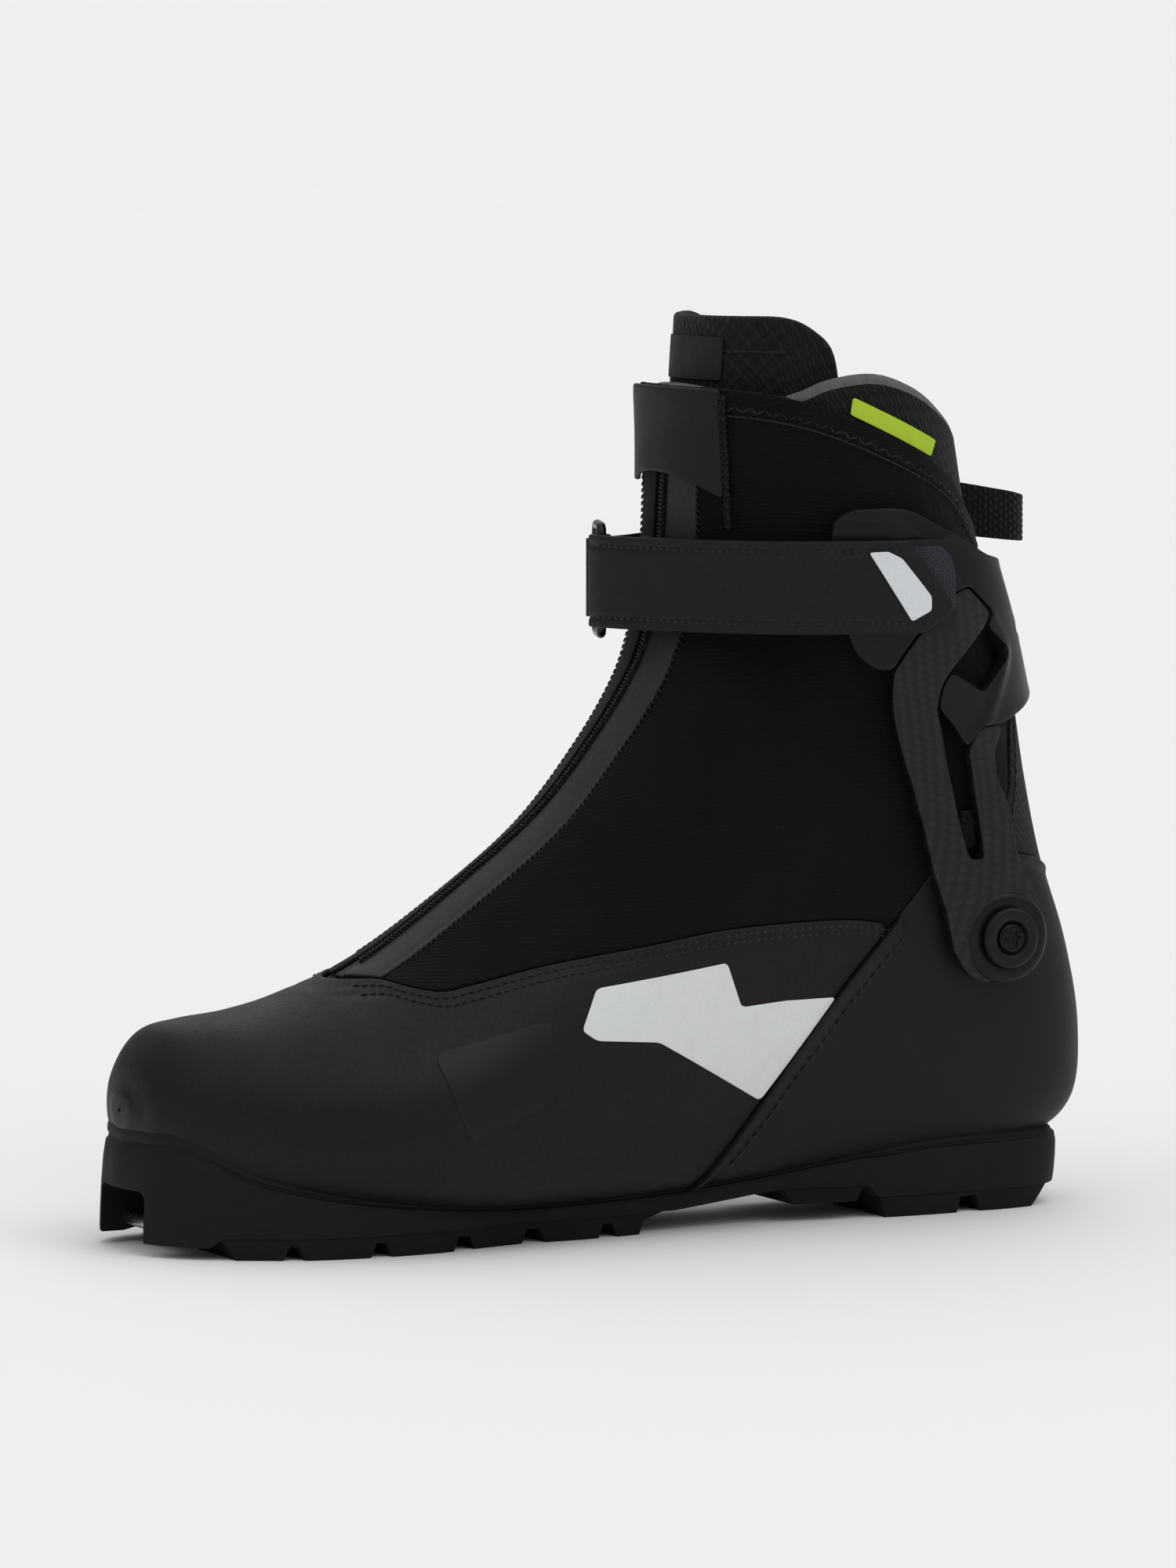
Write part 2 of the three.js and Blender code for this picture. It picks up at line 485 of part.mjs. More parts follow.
const foldOuter = slab(circle(BAR1, WIRE_R + WIRE_GAP + TAIL_T, 32), STRAP_LOW, STRAP_HIGH);
const foldHole = slab(circle(BAR1, WIRE_R + WIRE_GAP, 32), STRAP_LOW - 2, STRAP_HIGH + 2);
const tipCut = prism([[-95, 199], [-72.5, 199], [-88, 179.3], [-85.5, 175.5], [-76.5, 171], [-95, 160]]);
const foldOpen = slab([[-8.2, -8], [-30, -8], [-30, 3], [-9.4, 3]], STRAP_LOW - 2, STRAP_HIGH + 2);
const tail = wall(TAIL_CURVE, TAIL_T, STRAP_LOW, STRAP_HIGH).subtract(tipCut)
  .add(foldOuter.subtract(foldOpen)).subtract(foldHole);
add("strap_tail", tail, 0x232324, 0.6);

const flagShape = prism([[-63.5, 194.8], [-69, 195], [-73, 193], [-82, 182], [-82, 178], [-76, 175]], 20, 90);
add("strap_flag", wall(TAIL_CURVE, 0.45, STRAP_LOW, STRAP_HIGH, 0.75).intersect(flagShape), 0xeef1f4, 0.3);
const hookOutline = [[-66, 196.5], [-85, 196], [-88, 193], [-89.5, 188], [-89.5, 178], [-66, 176]];
const hookShape = prism(hookOutline, 20, 90);
add("hook_patch", wall(BASE_CURVE, 0.7, STRAP_LOW, STRAP_HIGH, 1).intersect(hookShape), 0x2b2c33, 0.95);

// ---- trim -----------------------------------------------------------------------------------------
const tabShell = surface.tabOut.subtract(surface.tabIn);
const tabRegion = [[20, 199.5], [-25.5, 199.5], [-33, 204], [-33, 240.6], [20, 243]];
add("front_tab", tabShell.intersect(prism(tabRegion, -20, 26)), 0x28282a, 0.55);

const labelShell = lastSolid(-LINING_OUT + 0.75, 6).subtract(lastSolid(-LINING_OUT + 0.2, 6));
const collarLabelShape = prism([[-62, 238.5], [-91, 225.6], [-88.5, 221], [-61, 233.5]], 5, 90);
add("collar_label", labelShell.intersect(collarLabelShape), 0xc8e63c, 0.6);
const tongueLabelShell = lastSolid(-TONGUE_OUT + 0.9, 6).subtract(lastSolid(-TONGUE_OUT + 0.25, 6));
const tongueLabelShape = prism([[0, 243], [-60, 243], [-60, 255.5], [0, 255.5]], -16, 20);
add("tongue_label", tongueLabelShell.intersect(tongueLabelShape), 0x111112, 0.8);

const PULL_T = 1.5;
const PULL_SIDE = [[-108, 4.5], [-118, 5.4], [-129, 5.8], [-137, 4.6]];
const PULL_CURVE = [...PULL_SIDE, [-141.2, 0], ...mirrorY(PULL_SIDE).reverse()];
const pullSide = prism([[-100, 196.5], [-118, 195.6], [-134, 193.8], [-145, 192.8], [-145, 206],
  [-134, 208.2], [-118, 211], [-100, 212]], -12, 12);
const pullWall = wall(PULL_CURVE.slice().reverse(), PULL_T, 188, 216);
add("heel_pull", pullWall.intersect(pullSide).subtract(lastSolid(0.3, 6)), 0x1e1e1f, 0.95);

const loopTab = lastSolid(1.5, 6).subtract(surface.tabIn)
  .intersect(prism([[-98.6, 108], [-103, 108.5], [-102.2, 119], [-97.8, 119]], 10, 90));
add("side_tab", loopTab, 0x3a3a3c, 0.6);

// ---- placement: sole on Z = 0, footprint centred --------------------------------------------------
const bounds = new THREE.Box3().setFromObject(group);
const centre = bounds.getCenter(new THREE.Vector3());
group.children.forEach((node) => node.geometry.translate(-centre.x, -centre.y, -bounds.min.z));

export default group;
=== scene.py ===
"""Looks of a cross country skate ski boot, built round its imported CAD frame.

Positions below are millimetres in the boot's design frame: +X toe, +Y outer side, +Z up.
"""
import math

import bmesh
import bpy
import numpy as np
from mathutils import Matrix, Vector


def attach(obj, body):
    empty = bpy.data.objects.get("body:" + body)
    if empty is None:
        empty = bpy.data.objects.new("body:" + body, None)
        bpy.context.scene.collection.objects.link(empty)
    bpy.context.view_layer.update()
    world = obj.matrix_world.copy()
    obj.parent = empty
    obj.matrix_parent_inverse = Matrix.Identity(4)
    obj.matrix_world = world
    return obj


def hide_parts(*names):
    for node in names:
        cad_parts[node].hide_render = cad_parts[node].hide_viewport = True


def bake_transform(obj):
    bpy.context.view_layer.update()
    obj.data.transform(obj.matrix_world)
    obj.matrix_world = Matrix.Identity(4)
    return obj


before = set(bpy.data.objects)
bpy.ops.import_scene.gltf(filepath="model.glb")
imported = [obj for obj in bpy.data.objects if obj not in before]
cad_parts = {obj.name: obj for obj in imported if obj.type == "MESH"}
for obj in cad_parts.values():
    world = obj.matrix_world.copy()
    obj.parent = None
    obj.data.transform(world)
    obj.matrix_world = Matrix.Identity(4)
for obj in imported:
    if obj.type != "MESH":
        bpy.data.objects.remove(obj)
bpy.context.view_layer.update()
SHIFT = np.array([4.5, -2.0, 0.0])
MM = 0.001
SIDES = ((1, "lateral"), (-1, "medial"))

# ---- outer surface of the boot ------------------------------------------------------------------
# Each row is a slanted oval section: bottom or back point X Z, top or front point X Z, half
# widths at the bottom, middle and top, centre offset in Y, roundness of its two halves.
STATIONS = np.array([
    [142.2, 38.8, 142.3, 40.6, 1.0, 1.2, 1.0, -9, 2.2, 2.2],
    [141.8, 35.2, 141.9, 44, 5.5, 6, 5, -9, 2.3, 2.3],
    [140.5, 33, 141, 46, 9, 10, 8, -9, 2.4, 2.4],
    [138, 28, 138.5, 54, 17, 18, 14, -9, 2.8, 2.5],
    [132, 23, 132, 62, 26, 26, 21, -8, 3.2, 2.5],
    [122, 19, 122, 64.6, 34, 33, 27, -6, 3.4, 2.4],
    [105, 15, 108, 66.8, 43, 42, 33, -3, 3.6, 2.2],
    [84, 12, 92, 71.6, 47.5, 47, 37, 0, 3.6, 2.1],
    [60, 10, 70, 82, 49, 48, 36, 2, 3.6, 2.0],
    [34, 9, 45, 99, 47, 46, 36, 3, 3.6, 2.0],
    [6, 9, 18, 120, 42, 45, 38, 3, 3.8, 2.0],
    [-26, 11, -1, 142, 37, 44, 40, 3, 4.0, 2.1],
    [-60, 14, -13, 160, 35, 43, 41, 2, 4.2, 2.2],
    [-95, 17, -18, 173, 35, 42, 42, 1, 4.2, 2.3],
    [-131, 18.5, -20, 183, 35, 42, 42, 0, 3.8, 2.3],
    [-149.5, 27.5, -21, 191, 37, 42, 42, 0, 3.2, 2.3],
    [-153, 48, -21.5, 198, 39, 42, 42, 0, 2.8, 2.3],
    [-149.5, 72, -22, 205, 40, 43, 42, 0, 2.5, 2.3],
    [-141, 97, -22.3, 211, 40, 44, 42, 0, 2.5, 2.3],
    [-135, 122, -22.6, 217, 41, 45, 42, 0, 2.5, 2.3],
    [-130.5, 146, -22.8, 223, 42, 46, 42, 0, 2.5, 2.3],
    [-124.5, 168, -23, 229, 44, 47, 42, 0, 2.5, 2.3],
    [-118, 188, -23, 235, 45, 47, 42, 0, 2.5, 2.3],
    [-114.5, 206, -23, 242, 45, 47, 42, 0, 2.5, 2.3],
    [-111.5, 224, -24, 258, 44, 46, 41, 0, 2.5, 2.3],
    [-108, 240, -25, 272, 44, 46, 41, 0, 2.5, 2.3],
])
K_TOP = len(STATIONS) - 1
LAST_ROWS, LAST_COLUMNS = 125, 180


def sections_at(k):
    k = np.clip(np.asarray(k, float), 0, K_TOP)
    i = np.minimum(np.floor(k).astype(int), K_TOP - 1)
    f = (k - i)[..., None]
    p0, p1, p2, p3 = (STATIONS[np.clip(i + j, 0, K_TOP)] for j in (-1, 0, 1, 2))
    return 0.5 * (2 * p1 + (p2 - p0) * f + (2 * p0 - 5 * p1 + 4 * p2 - p3) * f * f
                  + (3 * p1 - p0 - 3 * p2 + p3) * f ** 3)


def half_width(s, v):
    return (s[..., 4] * (1 - v) * (1 - 2 * v) + 4 * s[..., 5] * v * (1 - v)
            + s[..., 6] * v * (2 * v - 1))


def last_point(k, b):
    """Point of section k at angle b from its top or front point, outer side positive."""
    k, b = np.broadcast_arrays(np.asarray(k, float), np.asarray(b, float))
    s = sections_at(k)
    c, n = -np.cos(b), np.sin(b)
    p = np.where(c > 0, s[..., 8], s[..., 9])
    r = (np.abs(c) ** p + np.abs(n) ** p) ** (-1 / p)
    v = (1 - r * c) / 2
    return np.stack([s[..., 0] + (s[..., 2] - s[..., 0]) * v, s[..., 7] + half_width(s, v) * r * n,
                     s[..., 1] + (s[..., 3] - s[..., 1]) * v], -1)


def unit(v):
    return v / np.maximum(np.linalg.norm(v, axis=-1, keepdims=True), 1e-9)


class Last:
    """The boot's outer surface: u = section, v = angle from the front."""

    def __init__(self):
        us = np.linspace(0, K_TOP, LAST_ROWS + 1)
        vs = np.linspace(-math.pi, math.pi, LAST_COLUMNS + 1)
        p = last_point(us[:, None], vs[None, :])
        across = np.cumsum(np.linalg.norm(np.diff(p, axis=1, prepend=p[:, :1]), axis=2), 1)
        self.across = across - across[:, LAST_COLUMNS // 2, None]
        along = np.linalg.norm(np.diff(p, axis=0, prepend=p[:1]), axis=2)
        self.along = np.cumsum(0.5 * along + 0.5 * along.mean(1, keepdims=True), 0)
        self.around = across[:, -1]

    def point(self, u, v):
        return last_point(u, v)

    def normal(self, u, v):
        e = 0.02
        a = last_point(np.minimum(u + e, K_TOP), v) - last_point(np.maximum(u - e, 0), v)
        b = last_point(u, v + e) - last_point(u, v - e)
        return unit(np.cross(b, a))

    def tex(self, u, v):
        turns = np.floor((v + math.pi) / (2 * math.pi) + 1e-9)
        w = v - turns * 2 * math.pi
        x = np.clip(u / K_TOP * LAST_ROWS, 0, LAST_ROWS - 0.001)
        y = np.clip((w + math.pi) / (2 * math.pi) * LAST_COLUMNS, 0, LAST_COLUMNS - 0.001)
        i, j = x.astype(int), y.astype(int)
        f, g = x - i, y - j

        def mix(t):
            return ((t[i, j] * (1 - f) + t[i + 1, j] * f) * (1 - g)
                    + (t[i, j + 1] * (1 - f) + t[i + 1, j + 1] * f) * g)
        round_here = self.around[i] * (1 - f) + self.around[i + 1] * f
        return np.stack([mix(self.across) + turns * round_here, mix(self.along)], -1)


LAST = Last()


def lengths(path):
    """Distance along a path at each of its points."""
    return np.r_[0, np.cumsum(np.linalg.norm(np.diff(path, axis=0), axis=1))]


def read_at(at, s, table):
    """Rows of a table at the distances `at`, where s is the distance of each row."""
    return np.stack([np.interp(at, s, column) for column in table.T], 1)


def spline(points, step=1.0, closed=False):
    """Catmull-Rom curve through points, resampled at about `step` along its length."""
    p = np.array(points, float)
    if closed:
        p = np.vstack([p[-1], p, p[0], p[1]])
    else:
        p = np.vstack([2 * p[0] - p[1], p, 2 * p[-1] - p[-2]])
    out = []
    for i in range(1, len(p) - 2):
        t = np.linspace(0, 1, 24, endpoint=False)[:, None]
        a, b, c, d = p[i - 1], p[i], p[i + 1], p[i + 2]
        out.append(0.5 * (2 * b + (c - a) * t + (2 * a - 5 * b + 4 * c - d) * t * t
                          + (3 * b - a - 3 * c + d) * t ** 3))
    out = np.vstack(out + [p[-2][None]])
    s = lengths(out)
    n = max(2, int(round(s[-1] / step)) + 1)
    out = read_at(np.linspace(0, s[-1], n), s, out)
    return out[:-1] if closed else out


def rounded(outline, radius=2.0):
    """Closed outline with each corner eased over `radius`."""
    p = np.array(outline, float)
    out = []
    for i in range(len(p)):
        a, b, c = p[i - 1], p[i], p[(i + 1) % len(p)]
        la, lc = np.linalg.norm(a - b), np.linalg.norm(c - b)
        s, e = b + (a - b) / la * min(radius, 0.45 * la), b + (c - b) / lc * min(radius, 0.45 * lc)
        for t in (0, 0.25, 0.5, 0.75, 1):
            out.append((1 - t) ** 2 * s + 2 * t * (1 - t) * b + t * t * e)
    return np.array(out)


def distance_to(line, p, closed=False):
    """Distance in the side view from each point to a polyline."""
    q = p[..., [0, 2]].reshape(-1, 2)
    a = np.array(line, float)
    b = np.roll(a, -1, 0) if closed else a[1:]
    a = a if closed else a[:-1]
    best = np.full(len(q), 1e9)
    for s, e in zip(a, b):
        d = e - s
        t = np.clip(((q - s) @ d) / max(d @ d, 1e-9), 0, 1)
        w = q - s - t[:, None] * d
        best = np.minimum(best, w[:, 0] ** 2 + w[:, 1] ** 2)
    return np.sqrt(best).reshape(p.shape[:-1])


def inside_of(outline, p):
    """Signed distance in the side view to a closed outline, positive inside."""
    q = p[..., [0, 2]].reshape(-1, 2)
    a = np.array(outline, float)
    b = np.roll(a, -1, 0)
    odd = np.zeros(len(q), bool)
    for s, e in zip(a, b):
        if s[1] == e[1]:
            continue
        cross = (s[1] > q[:, 1]) != (e[1] > q[:, 1])
        odd ^= cross & (q[:, 0] < (e[0] - s[0]) * (q[:, 1] - s[1]) / (e[1] - s[1]) + s[0])
    d = distance_to(outline, p, True)
    return np.where(odd.reshape(d.shape), d, -d)


class Wall:
    """Upright wall on a plan curve: u = length along the curve, v = height."""

    def __init__(self, curve):
        self.line = spline(curve, 0.5)
        self.s = lengths(self.line)
        self.length = self.s[-1]
        self.dir = unit(np.gradient(self.line, axis=0))

    def along(self, u, table):
        return np.stack([np.interp(u, self.s, table[:, c]) for c in (0, 1)], -1)

    def point(self, u, v):
        u, v = np.broadcast_arrays(np.asarray(u, float), np.asarray(v, float))
        return np.concatenate([self.along(u, self.line), v[..., None]], -1)

    def normal(self, u, v):
        d = self.along(u, self.dir)
        return unit(np.stack([-d[..., 1], d[..., 0], 0 * d[..., 0]], -1))

    def tex(self, u, v):
        return np.stack([u, v], -1)


def within(outline):
    """Field that is positive inside a side-view outline."""
    return lambda p, u, v: inside_of(outline, p)


# ---- mesh builders -------------------------------------------------------------------------------
def linked(name, data):
    obj = bpy.data.objects.new(name, data)
    bpy.context.scene.collection.objects.link(obj)
    return obj


def opened(mesh):
    bm = bmesh.new()
    bm.from_mesh(mesh)
    return bm


def written(bm, mesh):
    bm.to_mesh(mesh)
    bm.free()
    return mesh


def face_outwards(mesh, merge=0.0):
    bm = opened(mesh)
    if merge:
        bmesh.ops.remove_doubles(bm, verts=bm.verts, dist=merge)
    bmesh.ops.recalc_face_normals(bm, faces=bm.faces)
    written(bm, mesh)


def ease_edges(bm, width):
    """Merge coplanar faces, then bevel every edge sharper than 32 degrees."""
    bmesh.ops.dissolve_limit(bm, angle_limit=math.radians(0.6), verts=bm.verts, edges=bm.edges)
    sharp = [e for e in bm.edges if len(e.link_faces) == 2 and e.calc_face_angle(0) > math.radians(32)]
    bmesh.ops.bevel(bm, geom=sharp, offset=width * MM, segments=2, affect="EDGES", profile=0.6,
                    clamp_overlap=True)


def smooth_below(mesh, angle):
    """Smooth shading that stays sharp past an angle in degrees."""
    mesh.polygons.foreach_set("use_smooth", [True] * len(mesh.polygons))
    mesh.set_sharp_from_angle(angle=math.radians(angle))


def loft(rows, sides, closed=False):
    """Faces joining rows of points, each row a ring, capped at both ends unless closed."""
    faces = []
    for i in range(rows if closed else rows - 1):
        a, b = i * sides, (i + 1) % rows * sides
        for j in range(sides):
            k = (j + 1) % sides
            faces.append([a + j, a + k, b + k, b + j])
    if not closed:
        faces += [list(range(sides))[::-1], [(rows - 1) * sides + j for j in range(sides)]]
    return faces


def make_object(name, verts, faces, uvs=None, slots=None, materials=(), smooth=True):
    mesh = bpy.data.meshes.new(name)
    mesh.from_pydata(((np.asarray(verts, float) + SHIFT) * MM).tolist(), [], faces)
    mesh.polygons.foreach_set("use_smooth", [smooth] * len(mesh.polygons))
    if slots is not None:
        mesh.polygons.foreach_set("material_index", slots)
    if uvs is not None:
        layer = mesh.uv_layers.new(name="UVMap")
        index = np.empty(len(mesh.loops), int)
        mesh.loops.foreach_get("vertex_index", index)
        layer.data.foreach_set("uv", (np.asarray(uvs, float)[index] * MM).ravel())
    for m in materials:
        mesh.materials.append(m)
    mesh.validate()
    return linked(name, mesh)


def clip_grid(surf, us, vs, field, wrap):
    """Part of a surface grid where field > 0: its parameters and faces, cut along field = 0."""
    u, v = np.meshgrid(us, vs, indexing="ij")
    n, m = u.shape
    f = field(surf.point(u, v), u, v)
    inside = f > 0
    cols = m if wrap else m - 1
    j1 = (np.arange(cols) + 1) % m
    extra = np.where(np.arange(cols) + 1 >= m, 2 * math.pi, 0.0)
    index = np.full((n, m), -1)
    index[inside] = np.arange(inside.sum())
    params = [np.stack([u[inside], v[inside]], -1)]

    def crossings(a_in, b_in, ua, va, ub, vb, start):
        cut = a_in != b_in
        lo = np.stack([np.where(a_in, ua, ub), np.where(a_in, va, vb)], -1)[cut]
        hi = np.stack([np.where(a_in, ub, ua), np.where(a_in, vb, va)], -1)[cut]
        for _ in range(9):
            mid = (lo + hi) / 2
            good = field(surf.point(mid[:, 0], mid[:, 1]), mid[:, 0], mid[:, 1]) > 0
            lo, hi = np.where(good[:, None], mid, lo), np.where(good[:, None], hi, mid)
        ids = np.full(cut.shape, -1)
        ids[cut] = start + np.arange(cut.sum())
        params.append((lo + hi) / 2)
        return ids, start + int(cut.sum())

    total = int(inside.sum())
    he, total = crossings(inside[:-1], inside[1:], u[:-1], v[:-1], u[1:], v[1:], total)
    vb = v[:, j1] + extra
    ve, total = crossings(inside[:, :cols], inside[:, j1], u[:, :cols], v[:, :cols], u[:, j1], vb, total)
    faces = []
    a, b = inside[:-1, :cols], inside[1:, :cols]
    c, d = inside[1:, j1], inside[:-1, j1]
    full = a & b & c & d
    fi, fj = np.nonzero(full)
    quads = np.stack([index[fi, fj], index[fi, j1[fj]], index[fi + 1, j1[fj]], index[fi + 1, fj]], 1)
    faces += quads.tolist()
    for i, j in zip(*np.nonzero((a | b | c | d) & ~full)):
        k = j1[j]
        ring = [(index[i, j], inside[i, j], ve[i, j]), (index[i, k], inside[i, k], he[i, k]),
                (index[i + 1, k], inside[i + 1, k], ve[i + 1, j]),
                (index[i + 1, j], inside[i + 1, j], he[i, j])]
        poly = []
        for q in range(4):
            corner, keep, edge = ring[q]
            if keep:
                poly.append(int(corner))
            if keep != ring[(q + 1) % 4][1]:
                poly.append(int(edge))
        if len(poly) > 2:
            faces.append(poly)
    return np.vstack(params), faces


def border_loops(faces):
    """Ordered vertex loops round the open border of a face list."""
    directed = {}
    edges = set()
    for f in faces:
        for a, b in zip(f, f[1:] + f[:1]):
            edges.add((a, b))
    for a, b in edges:
        if (b, a) not in edges:
            directed.setdefault(a, []).append(b)
    loops = []
    while directed:
        start = next(iter(directed))
        loop, at = [start], start
        while True:
            nxt = directed[at].pop()
            if not directed[at]:
                del directed[at]
            if nxt == start or nxt not in directed:
                break
            loop.append(nxt)
            at = nxt
        if len(loop) > 2:
            loops.append(loop)
    return loops


def value(x, p, u, v):
    return np.asarray(x(p, u, v) if callable(x) else np.full(len(p), float(x)), float)


def shell(name, surf, us, vs, field, outer, inner, edge=0.6, wrap=False, materials=(), rim=0, back=0):
    """Closed skin on a surface, cut to field > 0, with rolled edges.

    outer and inner are offsets along the normal. rim and back are the material numbers of the
    rolled edge and of the inner face.
    """
    params, faces = clip_grid(surf, us, vs, lambda p, u, v: field(p, u, v) - edge, wrap)
    if not faces:
        raise ValueError("nothing left of " + name)
    u, v = params[:, 0], params[:, 1]
    p, n, t = surf.point(u, v), surf.normal(u, v), surf.tex(u, v)
    ho, hi = value(outer, p, u, v), value(inner, p, u, v)
    count = len(p)
    verts, uvs = [p + n * ho[:, None], p + n * hi[:, None]], [t, t]
    slots = [0] * len(faces)
    all_faces = list(faces) + [[count + q for q in reversed(f)] for f in faces]
    slots += [back] * len(faces)
    total = 2 * count
    turns = [math.radians(a) for a in (28, 58, 90)]
    for loop in border_loops(faces):
        idx = np.array(loop)
        q, m = p[idx], n[idx]
        tangent = unit(np.roll(q, -1, 0) - np.roll(q, 1, 0))
        out = unit(np.cross(tangent, m))
        for _ in range(2):
            out = unit(out + np.roll(out, 1, 0) + np.roll(out, -1, 0))
        h = np.minimum(edge, (ho[idx] - hi[idx]) / 2)[:, None]
        top, low = ho[idx][:, None], hi[idx][:, None]
        rings = [q + m * (top - h * (1 - math.cos(a))) + out * edge * math.sin(a) for a in turns]
        rings += [q + m * (low + h * (1 - math.cos(a))) + out * edge * math.sin(a) for a in reversed(turns)]
        ids = [idx]
        for ring in rings:
            verts.append(ring)
            uvs.append(t[idx])
            ids.append(total + np.arange(len(idx)))
            total += len(idx)
        ids.append(count + idx)
        for a, b in zip(ids[:-1], ids[1:]):
            a1, b1 = np.roll(a, -1), np.roll(b, -1)
            quads = np.stack([a1, a, b, b1], 1).tolist()
            all_faces += quads
            slots += [rim] * len(quads)
    return make_object(name, np.vstack(verts), all_faces, np.vstack(uvs), slots, materials)


def tube(name, path, radius, sides=10, closed=False, up=None, materials=()):
    """Round rod along a path of points."""
    path = np.asarray(path, float)
    n = len(path)
    if closed:
        t = unit(np.roll(path, -1, 0) - np.roll(path, 1, 0))
    else:
        t = unit(np.gradient(path, axis=0))
    up = np.asarray(up if up is not None else [0.13, 0.31, 0.94], float)
    a = unit(np.cross(t, np.broadcast_to(up, t.shape)))
    b = np.cross(t, a)
    r = np.broadcast_to(np.asarray(radius, float), (n,))
    ang = np.linspace(0, 2 * math.pi, sides, endpoint=False)
    ring = (a[:, None] * np.cos(ang)[None, :, None] + b[:, None] * np.sin(ang)[None, :, None])
    verts = (path[:, None] + ring * r[:, None, None]).reshape(-1, 3)
    s = lengths(path)
    uvs = np.stack([np.repeat(s, sides), np.tile(ang * r.mean(), n)], -1)
    return make_object(name, verts, loft(n, sides, closed), uvs, None, materials)


def rope(name, path, normals, radius, pitch, materials, strands=2):
    """Twisted cord: strands wound round a path that lies on a surface."""
    t = unit(np.gradient(path, axis=0))
    n = unit(normals)
    b = np.cross(t, n)
    s = lengths(path)
    parts = []
    for q in range(strands):
        phase = 2 * math.pi * (s / pitch + q / strands)
        line = path + (n * np.cos(phase)[:, None] + b * np.sin(phase)[:, None]) * radius * 0.52
        parts.append(tube(name + "_strand", line, radius * 0.62, 8, up=[0.3, 0.9, 0.3], materials=materials))
    return joined(parts, name)


def joined(parts, name):
    with bpy.context.temp_override(active_object=parts[0], selected_editable_objects=parts):
        bpy.ops.object.join()
    parts[0].name = name
    return parts[0]


def stitches(name, path, normals, pitch, length, radius, materials, slant=0.0, zigzag=0.0, lift=0.15):
    """Row of thread stitches along a surface path. slant turns each one, in degrees."""
    path, normals = np.asarray(path, float), np.asarray(normals, float)
    s = lengths(path)
    at = np.arange(pitch / 2, s[-1], pitch)
    c, n = read_at(at, s, path), unit(read_at(at, s, normals))
    t = unit(read_at(at, s, np.gradient(path, axis=0)))
    b = np.cross(n, t)
    turn = np.radians(np.full(len(at), slant) + zigzag * np.where(np.arange(len(at)) % 2, 1, -1))[:, None]
    d = t * np.cos(turn) + b * np.sin(turn)
    w = np.cross(n, d)
    ends = np.array([-0.5, -0.36, 0, 0.36, 0.5])
    size = np.array([0.25, 0.85, 1, 0.85, 0.25])
    high = np.array([-0.5, 0.1, 0.3, 0.1, -0.5])
    sides = 6
    ang = np.arange(sides) * 2 * math.pi / sides
    centre = (c[:, None] + d[:, None] * (ends * length)[None, :, None]
              + n[:, None] * (lift + high * radius)[None, :, None])
    ring = (w[:, None, None] * np.cos(ang)[None, None, :, None]
            + n[:, None, None] * np.sin(ang)[None, None, :, None]) * (size * radius)[None, :, None, None]
    verts = (centre[:, :, None] + ring).reshape(-1, 3)
    one = loft(len(ends), sides)
    faces = [[q + len(ends) * sides * i for q in f] for i in range(len(at)) for f in one]
    return make_object(name, verts, faces, np.zeros((len(verts), 2)), None, materials)


def lathe(name, centre, side, profile, materials, sides=96):
    """Turned part about a Y axis. profile rows are radius, Y and how far six lobes reach."""
    x, z = centre
    ang = np.linspace(0, 2 * math.pi, sides, endpoint=False)
    verts = []
    for row in profile:
        r = row[0] * (1 + (row[2] if len(row) > 2 else 0) * np.cos(6 * ang))
        verts.append(np.stack([x + r * np.cos(ang), np.full(sides, side * row[1]), z + r * np.sin(ang)], -1))
    faces = loft(len(profile), sides)
    if side > 0:
        faces = [f[::-1] for f in faces]
    v = np.vstack(verts)
    return make_object(name, v, faces, v[:, [0, 2]], None, materials)


# ---- finding places on the boot surface ------------------------------------------------------------
LOOKUP_ROWS, LOOKUP_COLUMNS = 360, 200
_us = np.linspace(0, K_TOP, LOOKUP_ROWS)
_vs = np.linspace(0.001, math.pi - 0.001, LOOKUP_COLUMNS)
_table = last_point(_us[:, None], _vs[None, :])[..., [0, 2]].reshape(-1, 2)


def locate(xz, side=1):
    """Section and angle where side-view points meet the surface, on the outer (1) or inner side."""
    xz = np.asarray(xz, float).reshape(-1, 2)
    best = np.array([np.argmin(((_table - q) ** 2).sum(1)) for q in xz])
    k, b = _us[best // LOOKUP_COLUMNS], _vs[best % LOOKUP_COLUMNS]
    for _ in range(5):
        f = last_point(k, b)[:, [0, 2]]
        e = 1e-3
        dk = (last_point(k + e, b)[:, [0, 2]] - f) / e
        db = (last_point(k, b + e)[:, [0, 2]] - f) / e
        det = dk[:, 0] * db[:, 1] - dk[:, 1] * db[:, 0]
        det = np.where(np.abs(det) < 1e-3, 1e9, det)
        r = xz - f
        k = np.clip(k + np.clip((r[:, 0] * db[:, 1] - r[:, 1] * db[:, 0]) / det, -0.2, 0.2), 0, K_TOP)
        b = np.clip(b + np.clip((dk[:, 0] * r[:, 1] - dk[:, 1] * r[:, 0]) / det, -0.1, 0.1), 0.001, 3.14)
    return k, side * b


def on_last(xz, side, lift, step=1.0):
    """Points and normals along a side-view curve laid on the surface."""
    k, b = locate(spline(xz, step), side)
    n = LAST.normal(k, b)
    return last_point(k, b) + n * lift, n


